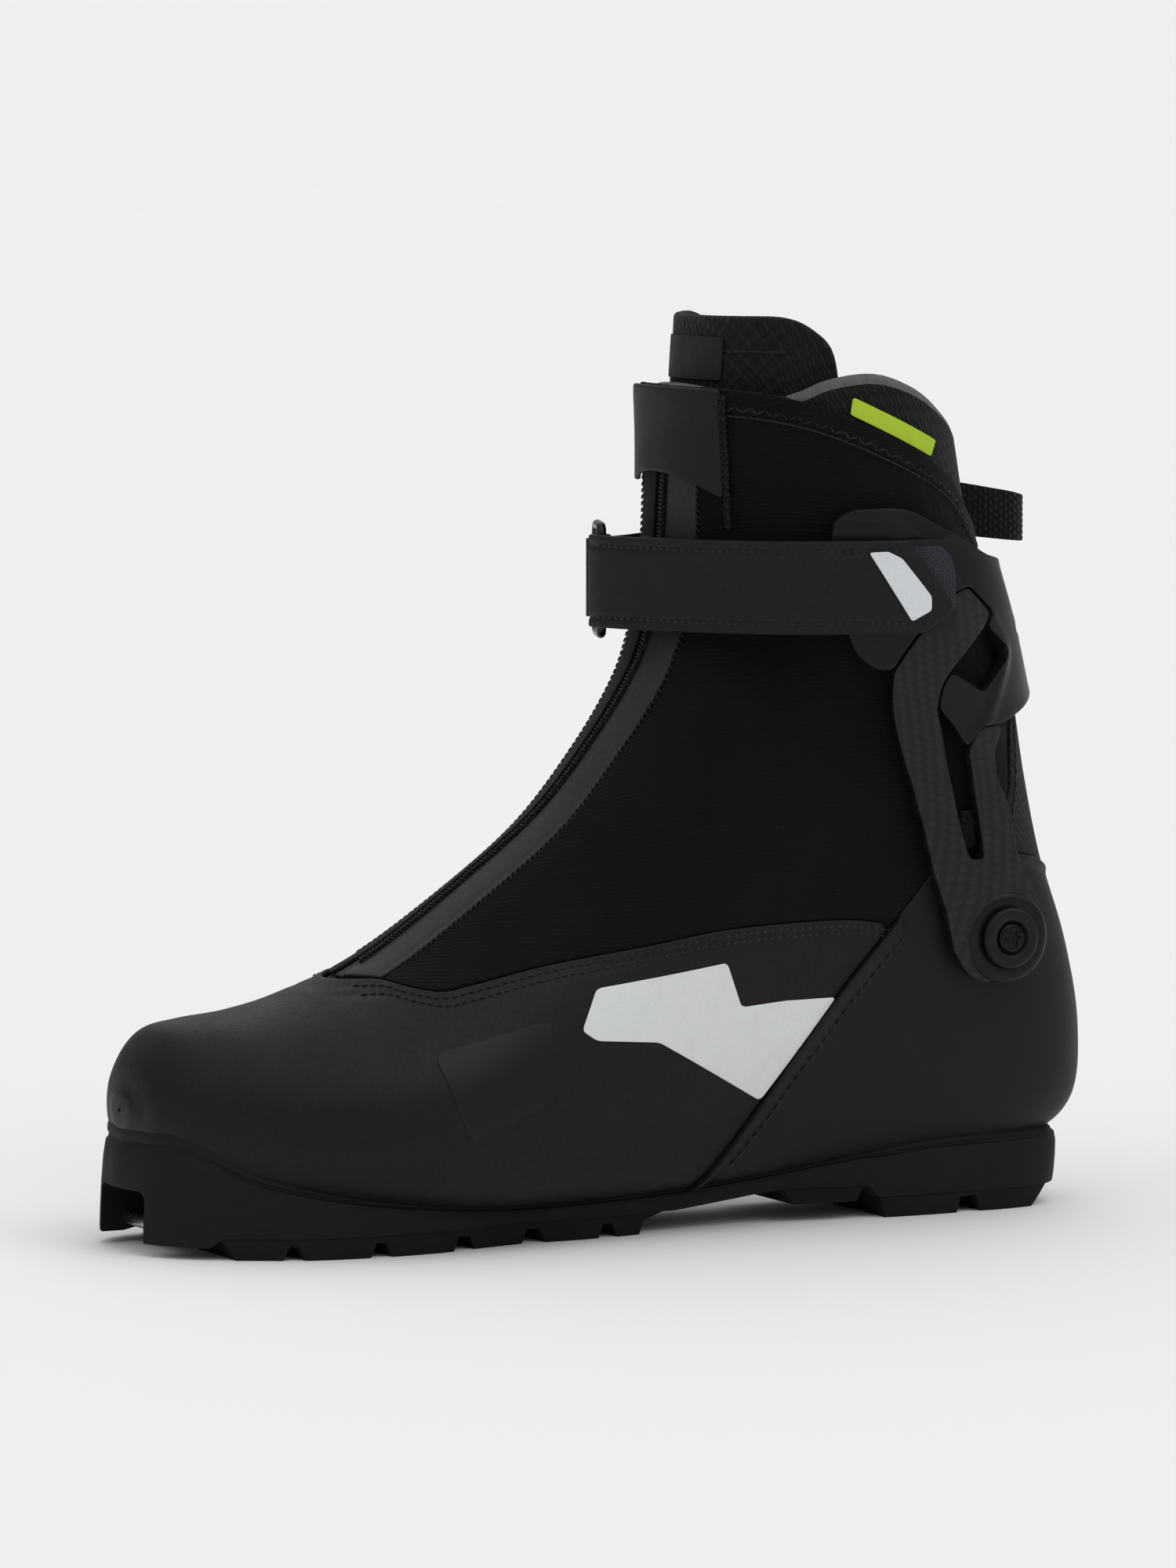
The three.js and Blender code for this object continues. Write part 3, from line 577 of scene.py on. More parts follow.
# ---- materials --------------------------------------------------------------------------------------
class Graph:
    """Small helper that wires one procedural material. Lengths in it are millimetres."""

    def __init__(self, name, uv=True):
        self.material = bpy.data.materials.new(name)
        self.material.use_nodes = True
        tree = self.material.node_tree
        self.nodes, self.links = tree.nodes, tree.links
        self.shader = self.nodes["Principled BSDF"]
        place = self.add("TexCoord")
        self.co = self.vector("SCALE", place.outputs["UV" if uv else "Object"], scale=1000.0)

    def put(self, socket, x):
        if isinstance(x, bpy.types.NodeSocket):
            self.links.new(x, socket)
        elif x is not None:
            socket.default_value = x

    def add(self, kind, **props):
        n = self.nodes.new("ShaderNode" + kind)
        for k, v in props.items():
            setattr(n, k, v)
        return n

    def math(self, op, a, b=None, c=None):
        n = self.add("Math", operation=op)
        for socket, x in zip(n.inputs, (a, b, c)):
            self.put(socket, x)
        return n.outputs[0]

    def plus(self, a, b):
        return self.math("ADD", a, b)

    def times(self, a, b):
        return self.math("MULTIPLY", a, b)

    def vector(self, op, a, b=None, c=None, scale=None):
        n = self.add("VectorMath", operation=op)
        for socket, x in zip(n.inputs, (a, b, c)):
            self.put(socket, x)
        if scale is not None:
            n.inputs["Scale"].default_value = scale
        return n.outputs["Value" if op in ("LENGTH", "DOT_PRODUCT") else "Vector"]

    def split(self, v=None):
        n = self.add("SeparateXYZ")
        self.put(n.inputs[0], v if v is not None else self.co)
        return n.outputs

    def turned(self, degrees):
        n = self.add("Mapping")
        self.put(n.inputs["Vector"], self.co)
        n.inputs["Rotation"].default_value = (0, 0, math.radians(degrees))
        return n.outputs[0]

    def noise(self, scale, detail=3.0, rough=0.5, co=None, warp=0.0):
        n = self.add("TexNoise")
        self.put(n.inputs["Vector"], co if co is not None else self.co)
        n.inputs["Scale"].default_value = scale
        n.inputs["Detail"].default_value = detail
        n.inputs["Roughness"].default_value = rough
        n.inputs["Distortion"].default_value = warp
        return n.outputs["Fac"]

    def noise_vector(self, scale):
        n = self.add("TexNoise")
        self.put(n.inputs["Vector"], self.co)
        n.inputs["Scale"].default_value = scale
        return n.outputs["Color"]

    def voronoi(self, scale, feature="F1", co=None, spread=1.0):
        n = self.add("TexVoronoi", feature=feature)
        self.put(n.inputs["Vector"], co if co is not None else self.co)
        n.inputs["Scale"].default_value = scale
        n.inputs["Randomness"].default_value = spread
        return n.outputs["Distance"]

    def span(self, x, a, b, lo=0.0, hi=1.0):
        n = self.add("MapRange", clamp=True)
        for socket, y in zip(n.inputs, (x, a, b, lo, hi)):
            self.put(socket, y)
        return n.outputs[0]

    def mix(self, fac, a, b):
        n = self.add("Mix", data_type="RGBA")
        self.put(n.inputs[0], fac)
        self.put(n.inputs[6], a if isinstance(a, bpy.types.NodeSocket) else (*a, 1))
        self.put(n.inputs[7], b if isinstance(b, bpy.types.NodeSocket) else (*b, 1))
        return n.outputs[2]

    def bump(self, height, depth, normal=None, strength=1.0):
        n = self.add("Bump")
        self.put(n.inputs["Height"], height)
        n.inputs["Distance"].default_value = depth * MM
        n.inputs["Strength"].default_value = strength
        self.put(n.inputs["Normal"], normal)
        return n.outputs[0]

    def done(self, colour, rough, normal=None, **constants):
        constants.setdefault("Specular_IOR_Level", 0.2)
        self.put(self.shader.inputs["Base Color"], colour)
        self.put(self.shader.inputs["Roughness"], rough)
        self.put(self.shader.inputs["Normal"], normal)
        for name, x in constants.items():
            self.shader.inputs[name.replace("_", " ")].default_value = x
        return self.material

    def wave(self, x, period, phase=0.0):
        """0 to 1 ripple along a coordinate."""
        s = self.math("SINE", self.math("MULTIPLY_ADD", x, 2 * math.pi / period, phase))
        return self.math("MULTIPLY_ADD", s, 0.5, 0.5)


def shade(c, k):
    return tuple(x * k for x in c)


def moulded(name, colour, rough, grain=0.35, depth=0.03, uv=True, wear=0.25, coat=0.0, metal=0.0, ior=1.46):
    """Moulded rubber, plastic or plain metal: fine grain, uneven polish, paler rubbed patches scattered by
    noise.
    """
    g = Graph(name, uv)
    broad = g.noise(0.03, 4.0, 0.6)
    fine = g.noise(2.2, 3.0, 0.6)
    scuff = g.span(g.noise(0.11, 6.0, 0.72, warp=0.6), 0.56, 0.74)
    base = g.mix(broad, shade(colour, 0.82), shade(colour, 1.22))
    base = g.mix(g.times(scuff, wear), base, shade(colour, 2.1))
    r = g.span(g.plus(g.times(broad, 0.6), g.times(fine, 0.4)), 0.3, 0.7,
               rough - 0.07, rough + 0.08)
    normal = g.bump(fine, depth, strength=grain)
    return g.done(base, r, normal, Coat_Weight=coat, Coat_Roughness=0.2, Metallic=metal, IOR=ior)


def coated(name, colour, rough, cell=1.1, depth=0.06, sheen=0.0, uv=True):
    """Smooth coated synthetic with a fine leather grain."""
    g = Graph(name, uv)
    warp = g.vector("ADD", g.co, g.vector("SCALE", g.noise_vector(0.9), scale=0.7))
    grain = g.voronoi(1 / cell, "SMOOTH_F1", warp)
    pores = g.noise(3.2, 2.0)
    broad = g.noise(0.035, 4.0, 0.6)
    base = g.mix(broad, shade(colour, 0.85), shade(colour, 1.18))
    base = g.mix(g.span(grain, 0.25, 0.75), base, shade(colour, 0.72))
    r = g.span(g.plus(broad, g.times(grain, 0.35)), 0.35, 0.95, rough - 0.08, rough + 0.1)
    height = g.plus(g.times(grain, 0.8), g.times(pores, 0.35))
    crease = g.noise(0.09, 4.0, 0.55, warp=0.4)
    normal = g.bump(crease, 0.7, g.bump(height, depth, strength=0.7), strength=0.35)
    return g.done(base, r, normal, Sheen_Weight=sheen)


def twill(name, colour, rough, period=1.15, angle=38, depth=0.12):
    """Woven stretch shell with diagonal ribs."""
    g = Graph(name)
    xy = g.split(g.turned(angle))
    drift = g.times(g.noise(0.5, 2.0), 1.2)
    ribs = g.wave(g.plus(xy[0], drift), period)
    threads = g.wave(xy[1], 0.55)
    broad = g.noise(0.03, 5.0, 0.62)
    fluff = g.noise(3.5, 3.0, 0.7)
    height = g.plus(g.times(ribs, 0.7), g.times(threads, 0.3))
    base = g.mix(g.times(height, 0.8), shade(colour, 0.55), shade(colour, 1.5))
    base = g.mix(g.span(broad, 0.35, 0.75, 0.0, 0.45), base, shade(colour, 1.7))
    wrinkle = g.noise(0.05, 3.0, 0.5, warp=0.8)
    normal = g.bump(wrinkle, 1.6, g.bump(g.plus(height, g.times(fluff, 0.3)), depth), strength=0.45)
    return g.done(base, g.span(fluff, 0.3, 0.7, rough - 0.06, rough + 0.08), normal,
                  Sheen_Weight=0.06, Sheen_Roughness=0.45, Specular_IOR_Level=0.08)


def honeycomb(name, colour, rough, size=3.1, depth=0.35):
    """Knitted textile with embossed hexagons."""
    g = Graph(name)
    half = (size / 2, size * math.sqrt(3) / 2, 1.0)
    low = tuple(-x for x in half)
    a = g.vector("WRAP", g.co, half, low)
    b = g.vector("WRAP", g.vector("SUBTRACT", g.co, half), half, low)
    cell = g.math("MINIMUM", g.vector("LENGTH", a), g.vector("LENGTH", b))
    dome = g.span(cell, size * 0.26, size * 0.56, 1.0, 0.0)
    xy = g.split()
    knit = g.times(g.wave(xy[0], 0.6), g.wave(xy[1], 0.75))
    broad = g.noise(0.05, 4.0, 0.6)
    base = g.mix(dome, shade(colour, 0.45), shade(colour, 1.25))
    base = g.mix(g.times(knit, 0.35), base, shade(colour, 2.0))
    base = g.mix(g.span(broad, 0.4, 0.7, 0.0, 0.35), base, shade(colour, 1.6))
    height = g.plus(dome, g.times(knit, 0.22))
    return g.done(base, g.span(dome, 0.0, 1.0, rough + 0.1, rough - 0.06), g.bump(height, depth),
                  Sheen_Weight=0.06, Sheen_Roughness=0.5, Specular_IOR_Level=0.12)


def fleece(name, colour, rough=0.95):
    """Short brushed pile."""
    g = Graph(name)
    tuft = g.noise(1.3, 5.0, 0.75, warp=1.5)
    clump = g.noise(0.25, 3.0, 0.6)
    base = g.mix(tuft, shade(colour, 0.45), shade(colour, 1.45))
    base = g.mix(g.span(clump, 0.4, 0.7, 0.0, 0.4), base, shade(colour, 0.6))
    return g.done(base, rough, g.bump(tuft, 0.7, g.bump(clump, 0.8)), Sheen_Weight=0.15,
                  Sheen_Roughness=0.4, Specular_IOR_Level=0.08)


def carbon(name, tow=2.0):
    """Two over two carbon cloth under clear satin resin."""
    g = Graph(name)
    xy = g.split(g.turned(24))
    u, v = (g.math("DIVIDE", c, tow) for c in xy[:2])
    cell = g.plus(g.math("FLOOR", u), g.math("FLOOR", v))
    over = g.math("LESS_THAN", g.math("FLOORED_MODULO", cell, 4.0), 1.5)
    flip = g.math("SUBTRACT", 1.0, over)
    fu = g.math("SINE", g.times(g.math("FRACT", u), math.pi))
    fv = g.math("SINE", g.times(g.math("FRACT", v), math.pi))
    height = g.plus(g.times(over, fu), g.times(flip, fv))
    fibre = g.noise(1.0, 2.0, co=g.vector("MULTIPLY", g.co, (0.6, 7.0, 1.0)))
    # Over tows are painted lighter than under tows. This is painted sheen standing in for the light the two
    # tow directions catch, and the fibre noise adds real streaks. The same mix also sets roughness.
    fibre_and_sheen_tone = g.plus(g.times(over, 0.75), g.times(fibre, 0.35))
    base = g.mix(fibre_and_sheen_tone, (0.0045, 0.0045, 0.0048), (0.0115, 0.0117, 0.0122))
    base = g.mix(g.span(height, 0.0, 0.35, 0.8, 0.0), base, (0.003, 0.003, 0.003))
    rough = g.span(fibre_and_sheen_tone, 0.0, 1.0, 0.46, 0.36)
    return g.done(base, rough, g.bump(height, 0.03), Coat_Weight=0.12, Coat_Roughness=0.3)


def webbing(name, colour, rough=0.85, rib=1.7):
    """Coarse woven tape."""
    g = Graph(name)
    xy = g.split()
    row = g.math("FLOOR", g.math("DIVIDE", xy[0], rib))
    shiftv = g.math("MULTIPLY_ADD", row, rib * 0.5, xy[1])
    across = g.math("FRACT", g.math("DIVIDE", xy[0], rib))
    bulge = g.times(g.math("SINE", g.times(across, math.pi)),
                   g.wave(shiftv, rib * 1.3))
    fuzz = g.noise(2.5, 3.0, 0.7)
    base = g.mix(bulge, shade(colour, 0.35), shade(colour, 1.5))
    base = g.mix(g.times(fuzz, 0.4), base, shade(colour, 0.7))
    height = g.plus(bulge, g.times(fuzz, 0.25))
    return g.done(base, rough, g.bump(height, 0.45), Sheen_Weight=0.08, Specular_IOR_Level=0.1)


def printed(name, colour, rough=0.5, depth=0.05):
    """Woven label or film with a flat printed face."""
    g = Graph(name)
    xy = g.split()
    weave = g.times(g.wave(xy[0], 0.7), g.wave(xy[1], 0.5))
    dirt = g.noise(0.12, 5.0, 0.7)
    base = g.mix(weave, shade(colour, 0.86), colour)
    base = g.mix(g.span(dirt, 0.5, 0.75, 0.0, 0.3), base, shade(colour, 0.72))
    return g.done(base, g.span(dirt, 0.3, 0.7, rough - 0.06, rough + 0.08), g.bump(weave, depth))


def reflective(name, colour, rough=0.32):
    """Bead-coated reflective film."""
    g = Graph(name)
    beads = g.voronoi(2.8, "F1")
    dirt = g.noise(0.1, 5.0, 0.7)
    base = g.mix(g.span(beads, 0.1, 0.5), colour, shade(colour, 0.86))
    base = g.mix(g.span(dirt, 0.5, 0.75, 0.0, 0.22), base, shade(colour, 0.7))
    return g.done(base, g.span(beads, 0.1, 0.5, rough, rough + 0.15), g.bump(beads, 0.04), Coat_Weight=0.25)


def hook_pile(name, colour):
    """Hook-and-loop face."""
    g = Graph(name)
    dots = g.voronoi(1.3, "F1", spread=0.35)
    fuzz = g.noise(1.6, 5.0, 0.8, warp=1.2)
    base = g.mix(g.span(dots, 0.1, 0.5), shade(colour, 1.6), shade(colour, 0.4))
    base = g.mix(g.times(fuzz, 0.5), base, shade(colour, 1.3))
    return g.done(base, 0.92, g.bump(g.plus(dots, fuzz), 0.5), Sheen_Weight=0.15, Specular_IOR_Level=0.1)


def thread(name, colour, rough=0.7):
    """Twisted sewing thread."""
    g = Graph(name, uv=False)
    ply = g.noise(4.0, 2.0)
    base = g.mix(ply, shade(colour, 0.7), shade(colour, 1.3))
    return g.done(base, rough, g.bump(ply, 0.05), Sheen_Weight=0.2)


VAMP = coated("vamp_synthetic", (0.0072, 0.0072, 0.0076), 0.5)
STRAP = coated("strap_coating", (0.0085, 0.0085, 0.009), 0.52, cell=0.8, depth=0.04)
STRAP_OBJ = coated("strap_band_coating", (0.0085, 0.0085, 0.009), 0.52, cell=0.8, depth=0.04, uv=False)
TAB = coated("tab_coating", (0.009, 0.009, 0.0095), 0.55, cell=0.7, depth=0.05)
TAPE = coated("tape_coating", (0.022, 0.022, 0.0242), 0.42, cell=0.9, depth=0.06)
HEEL = moulded("heel_rubber", (0.0075, 0.0075, 0.0078), 0.5, depth=0.03)
SOLE = moulded("sole_rubber", (0.0068, 0.0068, 0.0071), 0.66, grain=0.6, depth=0.06, uv=False, wear=0.35)
TREAD = moulded("tread_rubber", (0.006, 0.006, 0.0063), 0.78, grain=0.8, depth=0.08, uv=False, wear=0.4)
CUFF = moulded("cuff_plastic", (0.0068, 0.0068, 0.0072), 0.38, grain=0.25, depth=0.02)
METAL = moulded("anodised_metal", (0.016, 0.0165, 0.0175), 0.34, grain=0.2, depth=0.01, uv=False, metal=1.0)
STEEL = moulded("steel_bar", (0.5, 0.51, 0.53), 0.26, grain=0.2, depth=0.01, uv=False, metal=1.0)
WIRE = moulded("blackened_wire", (0.03, 0.03, 0.032), 0.3, grain=0.2, depth=0.01, metal=1.0)
CAP = moulded("cap_plastic", (0.008, 0.008, 0.0085), 0.42, grain=0.3, depth=0.02)
SHELL = twill("softshell_twill", (0.0042, 0.004, 0.004), 0.8)
HEX = honeycomb("hex_textile", (0.0072, 0.0072, 0.0075), 0.72)
LINING = fleece("brushed_lining", (0.02, 0.02, 0.021))
FLEECE = fleece("grey_fleece", (0.16, 0.16, 0.165))
CARBON = carbon("carbon_twill")
WEB = webbing("pull_webbing", (0.008, 0.008, 0.0084))
ROPE = webbing("rope_thread", (0.007, 0.007, 0.0072), rib=0.9)
COIL = moulded("zip_coil", (0.008, 0.008, 0.0085), 0.45, grain=0.3)
WHITE = printed("white_film", (0.8, 0.82, 0.83), 0.38)
FLAG = reflective("reflective_film", (0.78, 0.81, 0.84))
LIME = printed("lime_label", (0.5, 0.72, 0.045), 0.6, 0.1)
LABEL = printed("black_label", (0.011, 0.011, 0.0117), 0.55, 0.12)
GLOSS = moulded("gloss_film", (0.0105, 0.0105, 0.011), 0.34, grain=0.1, depth=0.01, wear=0.1)
HOOK = hook_pile("hook_pile", (0.035, 0.037, 0.048))
BOARD = moulded("board", (0.11, 0.09, 0.07), 0.85, uv=False)
FOAM = fleece("footbed_cover", (0.028, 0.029, 0.032))
THREAD = thread("thread_black", (0.0022, 0.0022, 0.0023))
THREAD_GREY = thread("thread_charcoal", (0.0028, 0.0028, 0.003))


# ---- outlines in the side view, X and Z --------------------------------------------------------------
VAMP_TOP = [[86, 75.5], [75, 76.5], [70, 75], [62, 73.6], [53, 75.5], [32, 80.5], [3, 85],
            [-23, 88.5], [-60, 89.2], [-77, 87]]
HEEL_EDGE = [[-77, 87], [-60, 69], [-49, 56], [-40, 45], [-24, 22], [-8, -10]]
HEEL_TOP = [[-90, 102], [-110, 106], [-126, 104], [-140, 99], [-175, 92]]
GAITER_TOP = [[30, 246], [-20, 241.5], [-27, 241], [-43, 238.5], [-61, 232.5], [-85, 221.5],
              [-97, 213.5], [-106, 203], [-120, 195], [-150, 190]]
COLLAR_RIM = [[-36, 237], [-46, 240], [-55, 243.5], [-68, 245], [-79, 243], [-91, 238],
              [-107, 228], [-119, 218], [-150, 208]]
TONGUE_RIM = [[0, 262], [-30, 261.5], [-43, 260.5], [-52, 256.5], [-58, 251], [-61, 240]]
RAND = [[160, 34], [145, 34], [136, 34.5], [130, 32], [123, 27], [115, 23], [100, 19], [85, 16],
        [70, 14], [50, 11.5], [35, 10.5], [-10, 11.5], [-45, 14.5], [-71, 18.5], [-97, 22],
        [-147, 23], [-160, 23]]
CUFF_EDGE = [[-55.5, 199], [-56, 204.5], [-60, 207], [-72, 207], [-77, 206], [-84, 202],
             [-93, 197], [-103, 191.5], [-118, 187.5], [-160, 185.5], [-160, 172], [-119, 171.5],
             [-116.5, 168.5], [-121, 166.5], [-160, 167.3], [-160, 156.5], [-131, 153], [-118, 147],
             [-109, 143.8], [-101, 143.4], [-97.1, 137.4], [-92, 145], [-87.7, 149.4], [-88.9, 156],
             [-91.5, 159.7], [-102, 153], [-110, 162], [-110, 165], [-102.4, 172.2], [-104.2, 175.8],
             [-95, 184.4], [-90, 181.8], [-85.4, 175], [-80.4, 171.4], [-76.4, 165.8], [-73.5, 160.8],
             [-69, 161.5], [-64, 165.5], [-61.5, 171], [-57, 185]]
FRAME_EDGE = [[-95, 183.9], [-90.4, 181.3], [-86, 174.5], [-81, 171], [-77, 165.5], [-74, 160.4],
              [-74.3, 150], [-76, 142], [-80, 128], [-84, 114], [-87, 103], [-92, 90], [-94.5, 79],
              [-99, 72.5], [-105, 69.3], [-112, 72], [-125, 83], [-120, 96], [-114.5, 106], [-111, 120],
              [-107, 128], [-106, 136], [-109, 143.4], [-101, 143], [-97.5, 137], [-99.5, 127],
              [-102.5, 113], [-104, 105], [-99.5, 105], [-98, 108], [-93, 127], [-91, 134], [-89, 143],
              [-87.2, 149.2], [-88.4, 156], [-91, 160.2], [-102, 172.5], [-103.8, 175.6]]
RIDGE = [[-58, 205], [-75, 204], [-84, 194], [-94, 184], [-104, 175], [-110, 165], [-109, 159],
         [-104, 147], [-100, 140]]
PIVOT = (-112.0, 82.0)
BOSS_R, BOSS_FACE, BUSH_R, CAP_R = 13.3, 46.4, 6.95, 8.8
STRAP_LOW, STRAP_HIGH = 171.5, 198.0
BAR1, BAR2, WIRE_R = (-8.2, -8.0), (-13.5, -22.0), 1.4
BASE_CURVE = [[-90, 54.6], [-74, 54.2], [-56, 50.2], [-41, 44], [-29, 34.5], [-20, 22.5], [-13.4, 6]]
TAIL_CURVE = [[-90, 57.9], [-74, 57.5], [-56, 53.4], [-40, 46.7], [-27.5, 36.6], [-18, 24.4],
              [-9.6, 8], [-5.7, -2.2], [-4.72, -8]]
ZIP_Y, TAPE_IN, TAPE_OUT = 2.0, 3.2, 15.5
SEAM = 0.15
SKIN = -1.6                      # inner face of the shoe's skins, below the surface
TAPE_GROOVE = 13.9               # groove along the zip tape, from the zip's middle
VAMP_ROWS = (1.9, 3.9)           # stitch rows below the vamp's top edge
GAITER_ROWS = (5.4, 7.4)         # stitch rows below the gaiter's top edge
ZIP_LOW, ZIP_HIGH = 80, 238
RAND_OVERLAP = 3                 # how far the upper runs down behind the rand
STRAP_ROW = 3                    # stitch rows in from the strap's edges
RING_OVERHANG, RING_CORNER = 2.2, 2.6
FRONT_TAB_LOW = 199.8
LABEL_LOW, LABEL_HIGH = 243, 255.5
HEEL_FLARE = 2.0
SOLE_BEVEL_ANGLE, PART_BEVEL_ANGLE = 38, 34
SOLE_BACK, SOLE_FRONT = -144, 138.5
RECESS = ((125.5, -22.5, -6.0), (156.0, 6.5, 18.0))
LUG_TOP, LUG_CHANNEL = 6.6, 4.6
FORE_LUGS = [[124, 108.5], [106.5, 84], [81.5, 57.5], [54, 33.5], [30, 9], [6.5, -5]]
NOTCH_TOP, NOTCH_DEPTH = 12.5, 0.6


def shifted(points, dx, dz):
    return [[x + dx, z + dz] for x, z in points]


def grown(points, d):
    p = np.array(points, float)
    e = unit(np.roll(p, -1, 0) - np.roll(p, 1, 0))
    area = np.sum(p[:, 0] * np.roll(p[:, 1], -1) - p[:, 1] * np.roll(p[:, 0], -1))
    return p + np.stack([e[:, 1], -e[:, 0]], 1) * d * np.sign(area)


def rand_height(x):
    r = np.array(RAND)[::-1]
    return np.interp(x, r[:, 0], r[:, 1])


def steps(a, b, n):
    return np.linspace(a, b, n)


def full_turn(n):
    return np.linspace(-math.pi, math.pi, n, endpoint=False)


def place(x, y, z):
    return tuple((np.array([x, y, z]) + SHIFT) * MM)


def bends(obj, slot, *nodes):
    """Cloth between the shoe and the cuff."""
    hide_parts(*nodes)
    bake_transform(obj)
    return obj


def rides(obj, body, slot, *nodes):
    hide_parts(*nodes)
    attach(obj, body)
    return obj


def ripple(x, width):
    return np.exp(-(x / width) ** 2)


VAMP_LINE = spline(VAMP_TOP, 2.0).tolist()
HEEL_LINE = spline(HEEL_EDGE, 2.0).tolist()
HEEL_RIM = spline(HEEL_TOP, 3.0).tolist()
GAITER_LINE = spline(GAITER_TOP, 3.0).tolist()


# ---- shoe ---------------------------------------------------------------------------------------------
def build_vamp():
    outline = ([[175, -20], [175, 75.5]] + shifted(VAMP_LINE, 0, -SEAM) + shifted(HEEL_LINE[1:], SEAM, 0)
               + [[-8, -20]])

    def field(p, u, v):
        return np.minimum(inside_of(outline, p), p[..., 2] - rand_height(p[..., 0]) + RAND_OVERLAP)

    def outer(p, u, v):
        hem = distance_to(VAMP_LINE, p)
        return 0.25 - 0.28 * ripple(hem - VAMP_ROWS[0], 0.7) - 0.28 * ripple(hem - VAMP_ROWS[1], 0.7)
    obj = shell("vamp_upper", LAST, steps(0.02, 18, 240), full_turn(280), field, outer, SKIN, 0.5, wrap=True,
                materials=[VAMP])
    rides(obj, "boot_lower", "coated_synthetic", "vamp_shell")
    for side, label in SIDES:
        for row, low in enumerate(VAMP_ROWS):
            p, n = on_last(shifted(VAMP_TOP, 0, -low), side, 0.0)
            keep = p[:, 0] < 82
            s = stitches(f"vamp_stitch_{label}_{row}", p[keep], n[keep], 2.5, 2.0, 0.3, [THREAD_GREY])
            rides(s, "boot_lower", "coated_synthetic")


def build_heel():
    outline = (shifted(HEEL_LINE, -SEAM, 0)[::-1] + shifted(HEEL_RIM, 0, -SEAM)
               + [[-175, -20], [-9, -20]])

    def field(p, u, v):
        return np.minimum(inside_of(outline, p), p[..., 2] - rand_height(p[..., 0]) + RAND_OVERLAP)

    def outer(p, u, v):
        front = distance_to(HEEL_LINE, p)
        top = distance_to(HEEL_RIM, p)
        welt = 1.5 * ripple(np.maximum(front - 1.6, 0), 1.1)
        return 0.3 + welt - 0.3 * ripple(front - 5.2, 0.8) + 0.7 * ripple(np.maximum(top - 1.2, 0), 0.8)
    obj = shell("heel_counter_shell", LAST, steps(9.5, 20.5, 190), full_turn(230), field, outer, SKIN, 0.5,
                wrap=True,
                materials=[HEEL])
    rides(obj, "boot_lower", "heel_rubber", "heel_shell")
    for side, label in SIDES:
        path = [[x - 4.3, z - 3.2] for x, z in HEEL_EDGE[:5]]
        p, n = on_last(path, side, 0.05)
        rides(stitches(f"heel_stitch_{label}", p, n, 3.4, 2.7, 0.36, [THREAD_GREY]), "boot_lower",
              "heel_rubber")


def panel(name, outline, materials, out, slot, node, edge=0.16, radius=1.5):
    shape = rounded(outline, radius)
    k, b = locate(shape, 1)
    obj = shell(name, LAST, steps(max(k.min() - 0.1, 0.1), k.max() + 0.1, 110),
                steps(max(b.min() - 0.06, 0.02), min(b.max() + 0.06, 3.1), 110),
                within(shape), out, 0.28, edge, materials=materials)
    return rides(obj, "boot_lower", slot, node)


def build_panels():
    white = [[20, 73.5], [-21, 79], [-26, 66], [-41, 67], [-58, 67], [-34, 38.5], [1, 57.5], [21, 59],
             [25.5, 62]]
    panel("white_panel_film", white, [WHITE], 0.62, "white_film", "white_panel")
    gloss = [[70, 57], [34, 65.5], [38, 41], [62, 33]]
    panel("gloss_panel_film", gloss, [GLOSS], 0.5, "gloss_film", "gloss_panel", radius=3.5)


def y_line(y, lift, z_from, z_to, wander=0.0, count=260):
    """Points up the front of the boot at a given distance from its middle."""
    ks = np.linspace(5, K_TOP, 900)
    bs = np.linspace(-1.2, 1.2, 161)
    grid = last_point(ks[:, None], bs[None, :])
    want = y + wander * np.sin(np.linspace(0, 17, len(ks)))
    b = np.array([np.interp(want[i], grid[i, :, 1], bs) for i in range(len(ks))])
    p, n = last_point(ks, b), LAST.normal(ks, b)
    keep = (p[:, 2] > z_from) & (p[:, 2] < z_to)
    p, n = p[keep] + n[keep] * lift, n[keep]
    s = lengths(p)
    at = np.linspace(0, s[-1], count)
    return read_at(at, s, p), unit(read_at(at, s, n))


GAITER_OUTLINE = (shifted(VAMP_LINE, 0, SEAM) + shifted(HEEL_RIM, 0, SEAM) + [[-175, 188]] + GAITER_LINE[::-1]
                  + [[110, 246], [110, 75.5]])
BACKSTAY = [[-175, 92.5], [-140, 99.2], [-126, 104.2], [-110.5, 106.2], [-118, 125], [-121, 160], [-175, 160]]


def hem(p):
    """Doubled cloth along the gaiter's top edge."""
    return 0.35 * ripple(np.maximum(distance_to(GAITER_LINE, p) - GAITER_ROWS[0], 0), 0.5)


def build_gaiter():
    backstay = rounded(grown(BACKSTAY, 0.3), 3)
    for side, label in SIDES:
        def field(p, u, v, side=side):
            y = side * p[..., 1]
            f = np.minimum(inside_of(GAITER_OUTLINE, p), -inside_of(backstay, p))
            front = side * (p[..., 1] - ZIP_Y) - TAPE_OUT - 0.3
            return np.minimum(f, np.where(np.abs(v) < 1.4, front, y - SEAM))

        def outer(p, u, v):
            return -0.25 + hem(p) + 0.35 * np.sin(p[..., 2] * 0.16 + p[..., 0] * 0.09) * np.clip(
                inside_of(GAITER_OUTLINE, p) / 12, 0, 1)
        vs = steps(0.02, math.pi, 170) if side > 0 else steps(-math.pi, -0.02, 170)
        obj = shell("gaiter_cloth_" + label, LAST, steps(7, K_TOP, 250), vs, field, outer, SKIN, 0.5,
                    materials=[SHELL])
        bends(obj, "softshell", "gaiter_" + label)
        for row, low in enumerate(GAITER_ROWS):
            p, n = on_last([[x, z - low] for x, z in GAITER_TOP[1:9]], side, -0.1)
            zig = 32.0 if row == 0 else 0.0
            s = stitches(f"gaiter_stitch_{label}_{row}", p, n, 2.3, 2.5, 0.26, [THREAD_GREY], zigzag=zig)
            bends(s, "softshell")


